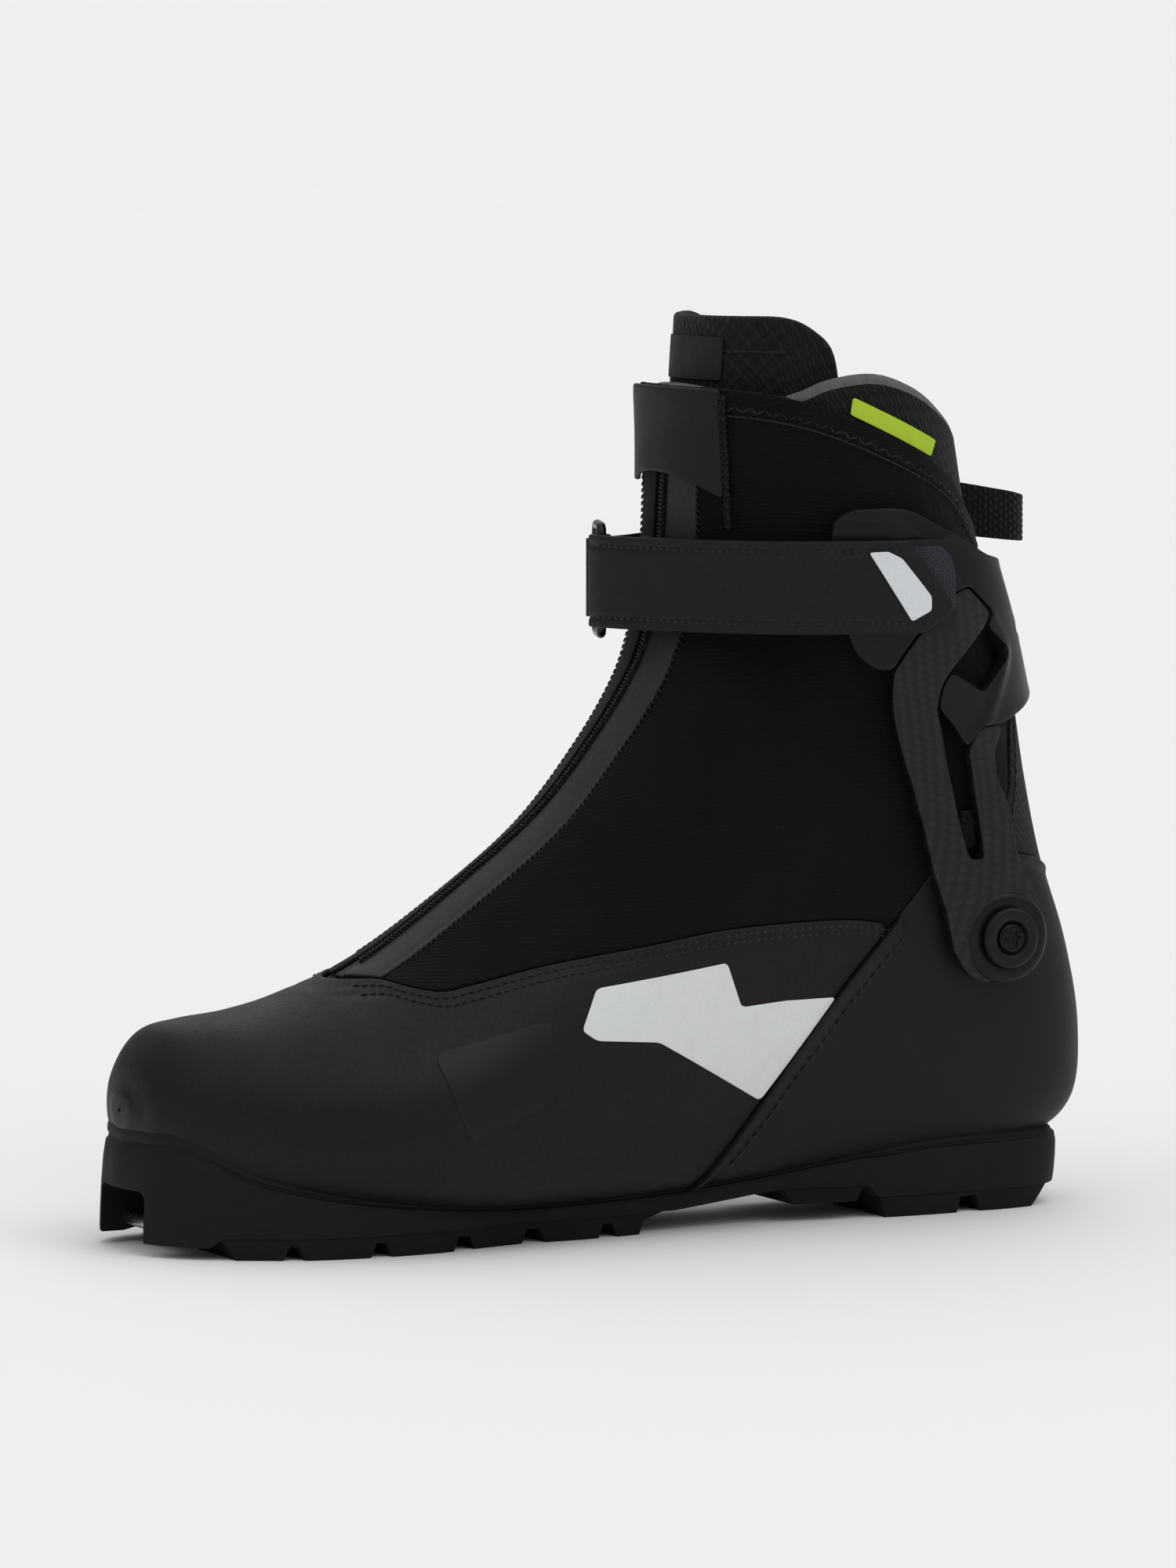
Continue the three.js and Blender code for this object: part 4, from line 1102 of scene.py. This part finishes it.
def build_backstay():
    shape = rounded(BACKSTAY, 3)

    def field(p, u, v):
        return np.minimum(inside_of(shape, p), inside_of(GAITER_OUTLINE, p))
    obj = shell("backstay_textile", LAST, steps(15, 24, 130), steps(math.pi - 1.3, math.pi + 1.3, 120), field,
                0.1, SKIN, 0.5, materials=[HEX])
    bends(obj, "hex_textile", "backstay")
    for side, label in SIDES:
        p, n = on_last([[-113.5, 107.5], [-120.3, 125], [-123.2, 157]], side, 0.2)
        bends(stitches("backstay_stitch_" + label, p, n, 2.1, 2.6, 0.28, [THREAD_GREY], zigzag=34.0),
              "hex_textile")


def build_zip():
    for side, label in SIDES:
        def field(p, u, v, side=side):
            y = side * (p[..., 1] - ZIP_Y)
            return np.minimum(inside_of(GAITER_OUTLINE, p), np.minimum(y - TAPE_IN, TAPE_OUT - y))

        def outer(p, u, v, side=side):
            y = side * (p[..., 1] - ZIP_Y)
            return 0.05 - 0.2 * ripple(y - TAPE_GROOVE, 0.5)
        vs = steps(0.0, 1.3, 74) if side > 0 else steps(-1.3, 0.25, 84)
        obj = shell("zip_tape_cloth_" + label, LAST, steps(7, K_TOP, 300), vs, field, outer, -1.5, 0.4,
                    materials=[TAPE if side > 0 else SHELL])
        bends(obj, "zip_tape", "zip_tape_" + label)
        p, n = y_line(ZIP_Y + side * (TAPE_OUT + 0.3), 0.0, ZIP_LOW, ZIP_HIGH)
        bends(stitches("zip_edge_stitch_" + label, p, n, 1.9, 2.6, 0.3, [THREAD], slant=58.0 * side),
              "zip_tape")

    def coil_field(p, u, v):
        return np.minimum(inside_of(GAITER_OUTLINE, p), TAPE_IN - 0.3 - np.abs(p[..., 1] - ZIP_Y))

    def coil_outer(p, u, v):
        return -0.9 + 0.4 * ripple(p[..., 1] - ZIP_Y, 1.6)
    coil = shell("zip_coil_teeth", LAST, steps(7, K_TOP, 300), steps(-0.5, 0.5, 60), coil_field, coil_outer,
                 -1.5, 0.4,
                 materials=[COIL])
    bends(coil, "coil", "zip_coil")
    p, n = y_line(ZIP_Y, -0.5, ZIP_LOW, ZIP_HIGH, count=420)
    bends(stitches("zip_coil_links", p, n, 1.15, 4.2, 0.35, [COIL], slant=84.0), "coil")
    p, n = y_line(ZIP_Y + 2.6, 0.25, ZIP_LOW - 0.5, ZIP_HIGH - 0.5, wander=0.5, count=520)
    bends(rope("zip_rope_lateral", p, n, 0.8, 3.2, [ROPE]), "zip_tape")


# ---- inside ---------------------------------------------------------------------------------------------
SPLIT, WEDGE = math.radians(52), math.radians(14)


def ray(angle, r):
    return [PIVOT[0] + r * math.cos(angle), PIVOT[1] + r * math.sin(angle)]


def build_inside():
    foot = [ray(SPLIT - WEDGE, 24), ray(SPLIT - WEDGE, 260), [260, 60], [260, -40], [-200, -40], [-200, 84],
            ray(math.pi - 0.1, 30)]
    lining = shell("foot_lining_cloth", LAST, steps(4, K_TOP, 110), full_turn(96), within(foot),
                   -1.9, -4.8, 0.8, wrap=True, materials=[LINING])
    rides(lining, "boot_lower", "lining", "foot_lining")

    collar = [ray(SPLIT, 30), ray(SPLIT, 190), [0, 250]] + spline(COLLAR_RIM, 3).tolist() + [[-180, 112],
                                                                                             ray(2.2, 34)]

    def inner(p, u, v):
        return -8.0 + 0.5 * np.sin(v * 9) * np.clip(inside_of(collar, p) / 20, 0, 1)
    pad = shell("collar_pad", LAST, steps(13, K_TOP, 150), full_turn(200), within(collar),
                -1.95, inner, 2.9, wrap=True, materials=[HEX, FLEECE], rim=1, back=1)
    rides(pad, "cuff", "hex_textile", "collar_padding")

    tongue_zone = ([[58, 84], [24, 108], [2, 128], [-20, 148], [-36, 168], [-48, 195], [-59, 225]]
                   + spline(TONGUE_RIM, 2).tolist()[::-1] + [[10, 262], [10, 160], [50, 120], [90, 95]])
    tongue = shell("tongue_pad", LAST, steps(9, K_TOP, 170), steps(-1.9, 1.9, 150),
                   within(tongue_zone), -8.4, -11.8, 1.5, materials=[HEX, LINING], back=1)
    bends(tongue, "hex_textile", "tongue")
    ks = np.linspace(23, K_TOP, 240)
    rows = []
    for b in np.linspace(-1.0, 1.0, 90):
        p = last_point(ks, b) + LAST.normal(ks, np.full(len(ks), b)) * -8.3
        at = int(np.argmin(np.abs(p[:, 2] - 251.0)))
        rows.append((p[at], LAST.normal(ks[at], b)))
    p, n = (np.array([r[i] for r in rows]) for i in (0, 1))
    bends(stitches("tongue_border_stitch", p, n, 2.4, 2.0, 0.28, [THREAD_GREY]), "hex_textile")

    label_zone = [[10, LABEL_LOW], [-70, LABEL_LOW], [-70, LABEL_HIGH], [10, LABEL_HIGH]]
    label = shell("tongue_label_patch", LAST, steps(22.5, K_TOP, 60), steps(-0.8, 0.8, 80),
                  lambda p, u, v: np.minimum(inside_of(label_zone, p),
                                             np.minimum(p[..., 1] + 16, 20 - p[..., 1])),
                  -7.5, -8.15, 0.2, materials=[LABEL])
    bends(label, "lime_print", "tongue_label")
    strip = [[-62, 238.5], [-91, 225.6], [-88.5, 221], [-61, 233.5]]
    lime = shell("collar_label_strip", LAST, steps(22, K_TOP, 110), steps(0.4, 2.6, 110),
                 within(strip), -1.1, -1.7, 0.2, materials=[LIME])
    rides(lime, "cuff", "lime_print", "collar_label")


def build_footbed():
    """Cushioned insole: a crowned plate that follows the bottom sections."""
    ks, ts = np.linspace(3.6, 13.6, 60), np.linspace(-1, 1, 33)
    s = sections_at(ks)
    verts = []
    for height, crown in ((11.3, 1.0), (7.7, 0.0)):
        v = height / (s[:, 3] - s[:, 1])
        p = np.where(v < 0.5, s[:, 8], s[:, 9])
        wide = np.maximum(half_width(s, v) * (1 - np.abs(2 * v - 1) ** p) ** (1 / p) - 6.3, 2.0)
        wide = wide * np.clip((ks - 3.55) / 0.9, 0, 1) ** 0.5
        x = s[:, 0] + (s[:, 2] - s[:, 0]) * v
        for i in range(len(ks)):
            heel_cup = 0.9 * (1 - ts ** 2) * math.exp(-((ks[i] - 12.5) / 2) ** 2)
            rise = crown * (1.4 * np.abs(ts) ** 4 - heel_cup)
            verts.append(np.stack([np.full(33, x[i]), s[i, 7] + ts * wide[i],
                                   s[i, 1] + height + rise - crown], -1))
    n, m = len(ks), 33
    faces = []
    for i in range(n - 1):
        for j in range(m - 1):
            q = [i * m + j, (i + 1) * m + j, (i + 1) * m + j + 1, i * m + j + 1]
            faces += [q[::-1], [n * m + x for x in q]]
    for i in range(n - 1):
        faces += [[i * m, (i + 1) * m, (n + i + 1) * m, (n + i) * m],
                  [(i + 1) * m + m - 1, i * m + m - 1, (n + i) * m + m - 1, (n + i + 1) * m + m - 1]]
    for j in range(m - 1):
        faces += [[j + 1, j, n * m + j, n * m + j + 1],
                  [(n - 1) * m + j, (n - 1) * m + j + 1, (2 * n - 1) * m + j + 1, (2 * n - 1) * m + j]]
    v = np.vstack(verts)
    obj = make_object("footbed_cushion", v, faces, v[:, :2], None, [FOAM])
    rides(obj, "boot_lower", "foam", "footbed")


# ---- cuff -----------------------------------------------------------------------------------------------
def build_cuff():
    outline = rounded(CUFF_EDGE, 2.2)

    def outer(p, u, v):
        crease = distance_to(RIDGE, p)
        edge = inside_of(outline, p)
        return 5.2 + 0.7 * ripple(crease, 1.7) + 0.1 * ripple(np.maximum(edge - 1.0, 0), 0.8)
    obj = shell("cuff_wing", LAST, steps(12, 25, 230), full_turn(300), within(outline),
                outer, 2.0, 0.3, wrap=True, materials=[CUFF])
    rides(obj, "cuff", "cuff_plastic", "cuff_shell")

    arm = rounded(FRAME_EDGE, 2.0)
    for side, label in SIDES:
        def away(p, u, v):
            r = np.hypot(p[..., 0] - PIVOT[0], p[..., 2] - PIVOT[1])
            return np.minimum(inside_of(arm, p), r - BUSH_R - 0.3)
        vs = steps(0.6, math.pi, 190) if side > 0 else steps(-math.pi, -0.6, 190)
        obj = shell("carbon_arm_" + label, LAST, steps(12, 24, 230), vs, away, 5.2, 2.0, 0.3,
                    materials=[CARBON])
        boss = lathe("boss_" + label, PIVOT, side,
                     [(BUSH_R + 0.1, 41), (BUSH_R + 0.1, BOSS_FACE - 0.2), (BUSH_R + 0.3, BOSS_FACE),
                      (11.4, BOSS_FACE), (12.5, BOSS_FACE - 0.35), (BOSS_R - 0.1, BOSS_FACE - 1.3),
                      (BOSS_R, BOSS_FACE - 2.4), (BOSS_R, 41)], [CUFF])
        obj.data.materials.append(CUFF)
        obj = joined([obj, boss], "carbon_arm_" + label)
        rides(obj, "cuff", "carbon", "carbon_frame_" + label)
        f = BOSS_FACE
        cap = lathe("pivot_cap_disc_" + label, PIVOT, side,
                    [(2.0, f + 0.95), (CAP_R - 0.3, f + 0.95), (CAP_R, f + 1.3), (CAP_R - 0.1, f + 1.9),
                     (CAP_R - 0.7, f + 2.5), (7.6, f + 2.6),
                     (5.3, f + 2.6), (5.0, f + 2.35), (4.95, f + 1.65), (2.0, f + 1.6)], [CAP])
        rides(cap, "boot_lower", "cuff_plastic", "pivot_cap_" + label)
        screw = lathe("pivot_screw_head_" + label, PIVOT, side,
                      [(1.6, f + 1.9), (4.0, f + 1.9), (4.2, f + 2.05), (4.15, f + 2.4), (3.5, f + 2.75),
                       (2.1, f + 2.75, 0.2), (2.0, f + 2.6, 0.22), (1.9, f + 2.1, 0.22), (0.8, f + 2.05)],
                      [METAL])
        rides(screw, "boot_lower", "metal_dark", "pivot_screw_" + label)


def build_side_tab():
    shape = rounded([[-98.6, 108], [-103, 108.5], [-102.2, 119], [-97.8, 119]], 0.8)
    k, b = locate(shape, 1)
    obj = shell("side_elastic_tab", LAST, steps(k.min() - 0.2, k.max() + 0.2, 40),
                steps(b.min() - 0.1, b.max() + 0.1, 40),
                within(shape), 1.5, 0.4, 0.4, materials=[WEB])
    bends(obj, "webbing", "side_tab")


# ---- closure strap ----------------------------------------------------------------------------------------
def build_strap():
    turn = [[BAR1[0] + 3.48 * math.cos(a), BAR1[1] + 3.48 * math.sin(a)]
            for a in np.radians([-30, -60, -90, -120, -150, -180])]
    wall = Wall(TAIL_CURVE + turn)
    tip = rounded([[-95, 199], [-72.5, 199], [-88, 179.3], [-85.5, 175.5], [-76.5, 171], [-95, 160]], 1.6)

    def field(p, u, v):
        f = np.minimum(np.minimum(v - STRAP_LOW, STRAP_HIGH - v), np.minimum(u, wall.length - u))
        return np.minimum(f, np.where(p[..., 0] < -60, -inside_of(tip, p), 1e3))

    def outer(p, u, v):
        rows = ripple(v - STRAP_LOW - STRAP_ROW, 0.8) + ripple(STRAP_HIGH - STRAP_ROW - v, 0.8)
        step = np.where((p[..., 0] < -40) & (p[..., 1] > 0),
                        ripple((p[..., 0] + 50) * 0.8 + (v - 185) * 0.55, 0.8), 0)
        return 0.15 - 0.4 * rows - 0.35 * step
    strap = shell("strap_tail_band", wall, steps(0, wall.length, 260), steps(STRAP_LOW, STRAP_HIGH, 60),
                  field, outer,
                  -1.75, 0.55, materials=[STRAP])
    rides(strap, "strap_tail", "strap_pu", "strap_tail")
    for row, z in enumerate((STRAP_LOW + STRAP_ROW, STRAP_HIGH - STRAP_ROW)):
        u = np.linspace(16 if row else 10, wall.length - 14, 300)
        p, n = wall.point(u, np.full(300, z)), wall.normal(u, np.full(300, z))
        if row:
            keep = p[:, 0] > -73
            p, n = p[keep], n[keep]
        rides(stitches(f"strap_stitch_{row}", p, n, 2.4, 1.95, 0.3, [THREAD_GREY], lift=-0.1), "strap_tail",
              "strap_pu")
    flag_shape = rounded(shifted([[-63.5, 194.8], [-69, 195], [-73, 193], [-82, 182], [-82, 178],
                                  [-76, 175]], 1.8, 0), 0.8)
    flag = shell("strap_flag_film", wall, steps(4, 40, 100), steps(173, 196, 70), within(flag_shape),
                 0.7, 0.2, 0.18, materials=[FLAG])
    rides(flag, "strap_tail", "white_film", "strap_flag")

    base = Wall(BASE_CURVE)
    hook_shape = rounded([[-66, 196.5], [-85, 196], [-88, 193], [-89.5, 188], [-89.5, 178], [-66, 176]], 1.5)
    hook = shell("hook_patch_pile", base, steps(0, 30, 60), steps(174, 198, 50), within(hook_shape),
                 1.0, 0.25, 0.3, materials=[HOOK])
    rides(hook, "cuff", "hook_loop", "hook_patch")

    low, high = STRAP_LOW - RING_OVERHANG, STRAP_HIGH + RING_OVERHANG
    ring = [np.array([*bar, z]) for bar, z in ((BAR1, low), (BAR1, high), (BAR2, high), (BAR2, low))]
    path = []
    for i, c in enumerate(ring):
        a, b = ring[i - 1], ring[(i + 1) % 4]
        s, e = c + unit(a - c) * RING_CORNER, c + unit(b - c) * RING_CORNER
        path += [(1 - t) ** 2 * s + 2 * t * (1 - t) * c + t * t * e for t in np.linspace(0, 1, 7)]
        path += [e + (b + unit(c - b) * RING_CORNER - e) * t for t in np.linspace(0, 1, 12)[1:-1]]
    wire = tube("ring_wire", np.array(path), WIRE_R, 16, closed=True, up=[0.93, 0.36, 0.02], materials=[WIRE])
    rides(wire, "strap_ring", "metal_dark", "strap_ring")


# ---- trim -------------------------------------------------------------------------------------------------
def build_trim():
    region = [[30, FRONT_TAB_LOW], [-25.5, FRONT_TAB_LOW], [-33, 204], [-33, 240.4], [30, 243]]

    def field(p, u, v):
        y, cut = p[..., 1], 0.9 * np.maximum(-9 - p[..., 1], 0)
        return np.minimum(np.minimum(inside_of(region, p), p[..., 2] - FRONT_TAB_LOW - cut),
                          np.minimum(26 - y, y + 20))
    tab = shell("front_tab_panel", LAST, steps(19, K_TOP, 130), steps(-1.1, 1.2, 120), field,
                2.2, 0.35, 0.8, materials=[TAB])
    rides(tab, "cuff", "coated_synthetic", "front_tab")
    p, n = y_line(26.5, 1.3, 201, 239, count=160)
    rides(rope("front_tab_seam", p, n, 0.9, 3.6, [ROPE]), "cuff", "coated_synthetic")

    sides = [[-108, 4.5], [-118, 5.4], [-129, 5.8], [-137, 4.6]]
    pull = Wall([[x, -y] for x, y in sides] + [[-141.2, 0]] + sides[::-1])
    shape = rounded([[-100, 196.5], [-118, 195.6], [-134, 193.8], [-145, 192.8], [-145, 206], [-134, 208.2],
                     [-118, 211], [-100, 212]], 1.0)

    def field(p, u, v):
        back = np.interp(p[..., 2], [188, 206, 224], [-118, -114.5, -111.5])
        return np.minimum(inside_of(shape, p), back - 0.3 - p[..., 0])
    loop = shell("heel_pull_loop", pull, steps(0, pull.length, 130), steps(190, 214, 46), field,
                 lambda p, u, v: 0.12 * np.sin(v * 3.7), -1.5, 0.5, materials=[WEB])
    rides(loop, "cuff", "webbing", "heel_pull")


# ---- parts carried over from the frame --------------------------------------------------------------------
def from_frame(node, name, body, slot, material, bevel):
    """Bevelled copy of a hard CAD node, standing for it."""
    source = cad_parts[node]
    bm = opened(source.data)
    bmesh.ops.remove_doubles(bm, verts=bm.verts, dist=1e-5)
    ease_edges(bm, bevel)
    mesh = written(bm, bpy.data.meshes.new(name))
    smooth_below(mesh, PART_BEVEL_ANGLE)
    mesh.materials.append(material)
    obj = linked(name, mesh)
    return rides(obj, body, slot, node)


def base_height(x):
    """Height of the sole frame's underside along the boot."""
    return np.interp(x, [-150, -146, -141, -80, -76, -50, -14, 126, 128.5, 139, 143, 146],
                     [20, 14, 6, 6, 9.5, 10, 6, 6, 3.5, 3.5, 14, 22])


def sole_axis(x):
    """Nearest points on the line that runs down the middle of the sole."""
    return np.stack([np.clip(x, -108, 104), np.interp(x, [-108, 104], [0, -4])], 1)


def build_sole():
    """Sole frame: a cup whose lip meets the upper flush, with a groove just under the lip."""
    params, faces = clip_grid(LAST, steps(0.3, 20, 200), full_turn(240),
                              lambda p, u, v: p[..., 2] - rand_height(p[..., 0]), True)
    loop = max(border_loops(faces), key=len)
    q = params[loop]
    p, n = last_point(q[:, 0], q[:, 1]), LAST.normal(q[:, 0], q[:, 1])
    line = spline(np.hstack([p, n])[::3], 1.0, closed=True)
    count = 520
    line = line[np.linspace(0, len(line), count, endpoint=False).astype(int)]
    for _ in range(6):
        line = (np.roll(line, 1, 0) + 2 * line + np.roll(line, -1, 0)) / 4
    p = line[:, :3]
    t = unit(np.roll(p, -1, 0)[:, :2] - np.roll(p, 1, 0)[:, :2])
    out = np.stack([t[:, 1], -t[:, 0]], 1)
    middle = np.stack([np.clip(p[:, 0], -112, 112), np.zeros(count)], 1)
    out *= np.sign(np.sum(out * (p[:, :2] - middle), 1))[:, None]
    for _ in range(8):
        out = unit(out + np.roll(out, 1, 0) + np.roll(out, -1, 0))
    toe = np.clip((p[:, 0] - 118) / 22, 0, 1)
    heel = np.clip((-116 - p[:, 0]) / 22, 0, 1) ** 0.7
    low = base_height(np.clip(p[:, 0] + 1.0, SOLE_BACK, SOLE_FRONT))
    tall = p[:, 2] - low
    rings = []
    for f, w in ((0.0, -6.0), (0.06, -2.4), (0.0, -0.6), (-0.02, 0.35), (0.02, 0.75), (0.075, 0.8),
                 (0.1, 0.35),
                 (0.135, 0.35), (0.16, 0.95), (0.3, 1.35), (0.55, 1.45), (0.8, 1.3), (0.95, 1.1),
                 (0.99, 0.95), (1.0, 0.6)):
        wide = w + np.where(f > 0.1, 2.3 * toe * f, 0)
        wide = wide + HEEL_FLARE * heel * min(max(f, 0) / 0.14, 1) * (1 - 0.3 * max(f - 0.3, 0) / 0.7)
        rings.append(np.column_stack([p[:, :2] + out * wide[:, None], p[:, 2] - tall * f]))
    foot = rings[-1]
    axis = sole_axis(foot[:, 0])
    for k in (0.85, 0.6, 0.3, 0.02):
        xy = axis + (foot[:, :2] - axis) * k
        rings.append(np.column_stack([xy, base_height(np.clip(xy[:, 0], SOLE_BACK, SOLE_FRONT))]))
    inner = rings[0]
    axis = sole_axis(inner[:, 0])
    floor_x, floor_z = STATIONS[3:15, 0][::-1], STATIONS[3:15, 1][::-1] - 1.2
    for k in (0.9, 0.6, 0.3, 0.02):
        xy = axis + (inner[:, :2] - axis) * k
        z = np.minimum(np.interp(xy[:, 0], floor_x, floor_z), inner[:, 2] - 1.5)
        rings.insert(0, np.column_stack([xy, z]))
    verts = np.vstack(rings)
    obj = make_object("outsole_body", verts, loft(len(rings), count), verts[:, :2], None, [SOLE])
    face_outwards(obj.data, 2e-5)
    boolean(obj, recess_block(), "DIFFERENCE")
    smooth_below(obj.data, SOLE_BEVEL_ANGLE)
    rides(obj, "boot_lower", "sole_rubber", "outsole_frame")
    return foot[::2, :2]


def recess_block():
    """Rounded block that hollows out the toe for the binding."""
    bm = bmesh.new()
    bmesh.ops.create_cube(bm, size=1.0)
    lo, hi = (np.array(corner) for corner in RECESS)
    for v in bm.verts:
        c = (np.array(v.co) + 0.5) * (hi - lo) + lo
        v.co = Vector((c + SHIFT) * MM)
    edges = [e for e in bm.edges if abs(e.verts[0].co.x - e.verts[1].co.x) > 0.01 and e.verts[0].co.z > 0.01]
    bmesh.ops.bevel(bm, geom=edges, offset=0.003, segments=5, affect="EDGES", profile=0.5)
    return linked("recess_block", written(bm, bpy.data.meshes.new("recess_block")))


def prism(outline, low, high, plan):
    """Closed block on a plan (X, Y) or a side-view (X, Z) outline."""
    outline = np.asarray(outline, float)
    n, flat = len(outline), [np.full(len(outline), h) for h in (low, high)]
    x, other = outline[:, 0], outline[:, 1]
    rows = [np.stack([x, other, h] if plan else [x, h, other], 1) for h in flat]
    faces = [[i, (i + 1) % n, n + (i + 1) % n, n + i] for i in range(n)]
    faces += [list(range(n))[::-1], list(range(n, 2 * n))]
    obj = make_object("block", np.vstack(rows), faces, smooth=False)
    face_outwards(obj.data)
    return obj


def boolean(obj, tool, operation):
    """Cut or keep the part of obj inside tool, which is used up."""
    cut = obj.modifiers.new("cut", "BOOLEAN")
    cut.operation, cut.solver, cut.object = operation, "EXACT", tool
    with bpy.context.temp_override(object=obj, active_object=obj, selected_objects=[obj]):
        bpy.ops.object.modifier_apply(modifier="cut")
    bpy.data.objects.remove(tool)


def build_lugs(name, node, contour, side_view, channels=(), half=4.0, span=(0, 0)):
    """Tread blocks flush with the sole wall, cut from its contour by their side view."""
    obj = prism(contour, -0.4, 12.0, True)
    boolean(obj, prism(side_view, -70, 70, False), "INTERSECT")
    for y in channels:
        block = [[span[0], y - half], [span[1], y - half], [span[1], y + half], [span[0], y + half]]
        boolean(obj, prism(block, -2.0, LUG_CHANNEL, True), "DIFFERENCE")
    obj.name = name
    bm = opened(obj.data)
    ease_edges(bm, 0.45)
    written(bm, obj.data)
    smooth_below(obj.data, PART_BEVEL_ANGLE)
    obj.data.materials.append(TREAD)
    rides(obj, "boot_lower", "sole_rubber", node)


def build_treads(contour):
    fore = [[127, LUG_TOP]]
    for x0, x1 in FORE_LUGS:
        fore += [[x0 - 0.2, 4], [x0 - 2, 0], [x1 + 2, 0], [x1 + 0.2, 4]]
    fore += [[-13, LUG_TOP]]
    build_lugs("forefoot_lugs", "forefoot_tread", contour, fore, (-14, 8), 4.0, (-20, 104))
    heel = [[-81, LUG_TOP], [-83, 0], [-106.5, 0], [-108, 4.6], [-113, 4.6], [-115, 0], [-133, 0],
            [-140, LUG_TOP]]
    build_lugs("heel_lugs", "heel_tread", contour, heel, (-10, 10), 3.0, (-145, -75))
    build_lugs("shank_lug", "shank_pad", contour, [[-50, 10.4], [-54, 5.2], [-74, 5.2], [-76, 10.2]])


def cut_side_notches(sole):
    """Shallow bites in the sole wall that carry each gap between the lugs upwards."""
    notches = []
    for (_, back), (front, _) in zip(FORE_LUGS[:-1], FORE_LUGS[1:]):
        x = (back + front) / 2
        side_view = [[x - 2.7, 3.0], [x - 1.6, NOTCH_TOP], [x + 2.2, NOTCH_TOP - 1], [x + 2.7, 3.0]]
        s = sections_at(np.interp(-x, -STATIONS[2:15, 0], np.arange(2, 15)))
        for side in (1, -1):
            wall = s[7] + side * (s[4] - NOTCH_DEPTH)
            notches.append(prism(side_view, *sorted((wall, wall + side * 20)), False))
    boolean(sole, joined(notches, "notches"), "DIFFERENCE")
    smooth_below(sole.data, SOLE_BEVEL_ANGLE)


def build_hard_parts():
    build_treads(build_sole())
    cut_side_notches(bpy.data.objects["outsole_body"])
    from_frame("toe_bar", "toe_bar_steel", "boot_lower", "steel", STEEL, 0.2)
    from_frame("insole_board", "insole_plate", "boot_lower", "board", BOARD, 0.3)
    from_frame("strap_base", "strap_base_band", "cuff", "strap_pu", STRAP_OBJ, 0.3)
    from_frame("strap_anchor", "strap_anchor_band", "cuff", "strap_pu", STRAP_OBJ, 0.3)
    for _, label in SIDES:
        from_frame("pivot_bushing_" + label, "pivot_bush_" + label, "boot_lower", "metal_dark", METAL, 0.2)


# ---- stage ------------------------------------------------------------------------------------------------
def heading(azimuth, elevation):
    a, e = math.radians(azimuth), math.radians(elevation)
    return Vector((math.sin(a) * math.cos(e), -math.cos(a) * math.cos(e), math.sin(e)))


FLOOR_HALF = 300.0
LENS, SENSOR = 208.3, 36
AIM_HEIGHT, CAMERA_DISTANCE, CAMERA_HEADING = 127, 2.6, (154, 5)
HORIZON, ZENITH, BACKDROP = 0.22, 0.75, 0.896
SOFTBOXES = ((205, 48, 10, 1.5), (110, 35, 12, 0.7), (330, 40, 10, 0.8))


def build_world():
    """Soft studio dome: dim low down, bright overhead, with broad softboxes, before a pale backdrop.

    Each softbox is an azimuth, an elevation, how tight it is and how bright.
    """
    world = bpy.data.worlds.new("studio")
    bpy.context.scene.world = world
    world.use_nodes = True
    nodes, links = world.node_tree.nodes, world.node_tree.links

    def maths(op, *values):
        n = nodes.new("ShaderNodeMath")
        n.operation = op
        for socket, x in zip(n.inputs, values):
            if isinstance(x, bpy.types.NodeSocket):
                links.new(x, socket)
            else:
                socket.default_value = x
        return n.outputs[0]
    ray_out = nodes.new("ShaderNodeTexCoord").outputs["Generated"]
    parts = nodes.new("ShaderNodeSeparateXYZ")
    links.new(ray_out, parts.inputs[0])
    up = maths("MAXIMUM", parts.outputs[2], 0.0)
    light = maths("MULTIPLY_ADD", maths("MULTIPLY", up, up), ZENITH, HORIZON)
    for azimuth, elevation, tight, bright in SOFTBOXES:
        dot = nodes.new("ShaderNodeVectorMath")
        dot.operation = "DOT_PRODUCT"
        links.new(ray_out, dot.inputs[0])
        dot.inputs[1].default_value = heading(azimuth, elevation)
        glow = maths("POWER", maths("MAXIMUM", dot.outputs["Value"], 0.0), float(tight))
        light = maths("MULTIPLY_ADD", glow, bright, light)
    seen = nodes.new("ShaderNodeLightPath").outputs["Is Camera Ray"]
    hidden = maths("MULTIPLY", light, maths("SUBTRACT", 1.0, seen))
    back = nodes["Background"]
    back.inputs[0].default_value = (1, 1, 1, 1)
    links.new(maths("MULTIPLY_ADD", seen, BACKDROP, hidden), back.inputs[1])


def build_stage():
    g = Graph("floor_paper", uv=False)
    speck = g.noise(0.002, 3.0)
    floor_paint = g.done(g.mix(speck, (0.94, 0.94, 0.94), (0.96, 0.96, 0.96)), 0.95)
    bm = bmesh.new()
    bmesh.ops.create_grid(bm, x_segments=8, y_segments=8, size=FLOOR_HALF)
    mesh = written(bm, bpy.data.meshes.new("floor"))
    mesh.materials.append(floor_paint)
    floor = linked("floor", mesh)

    build_world()
    bpy.context.scene.view_settings.view_transform = "Standard"

    camera = bpy.data.cameras.new("camera")
    camera.lens = LENS
    camera.sensor_width = SENSOR
    camera.clip_end = 1000
    eye = linked("camera", camera)
    aim = Vector(place(0, 0, AIM_HEIGHT))
    eye.location = aim + CAMERA_DISTANCE * heading(*CAMERA_HEADING)
    eye.rotation_euler = (aim - eye.location).to_track_quat("-Z", "Y").to_euler()
    bpy.context.scene.camera = eye


build_stage()
build_hard_parts()
build_vamp()
build_heel()
build_panels()
build_gaiter()
build_backstay()
build_zip()
build_inside()
build_footbed()
build_cuff()
build_side_tab()
build_strap()
build_trim()
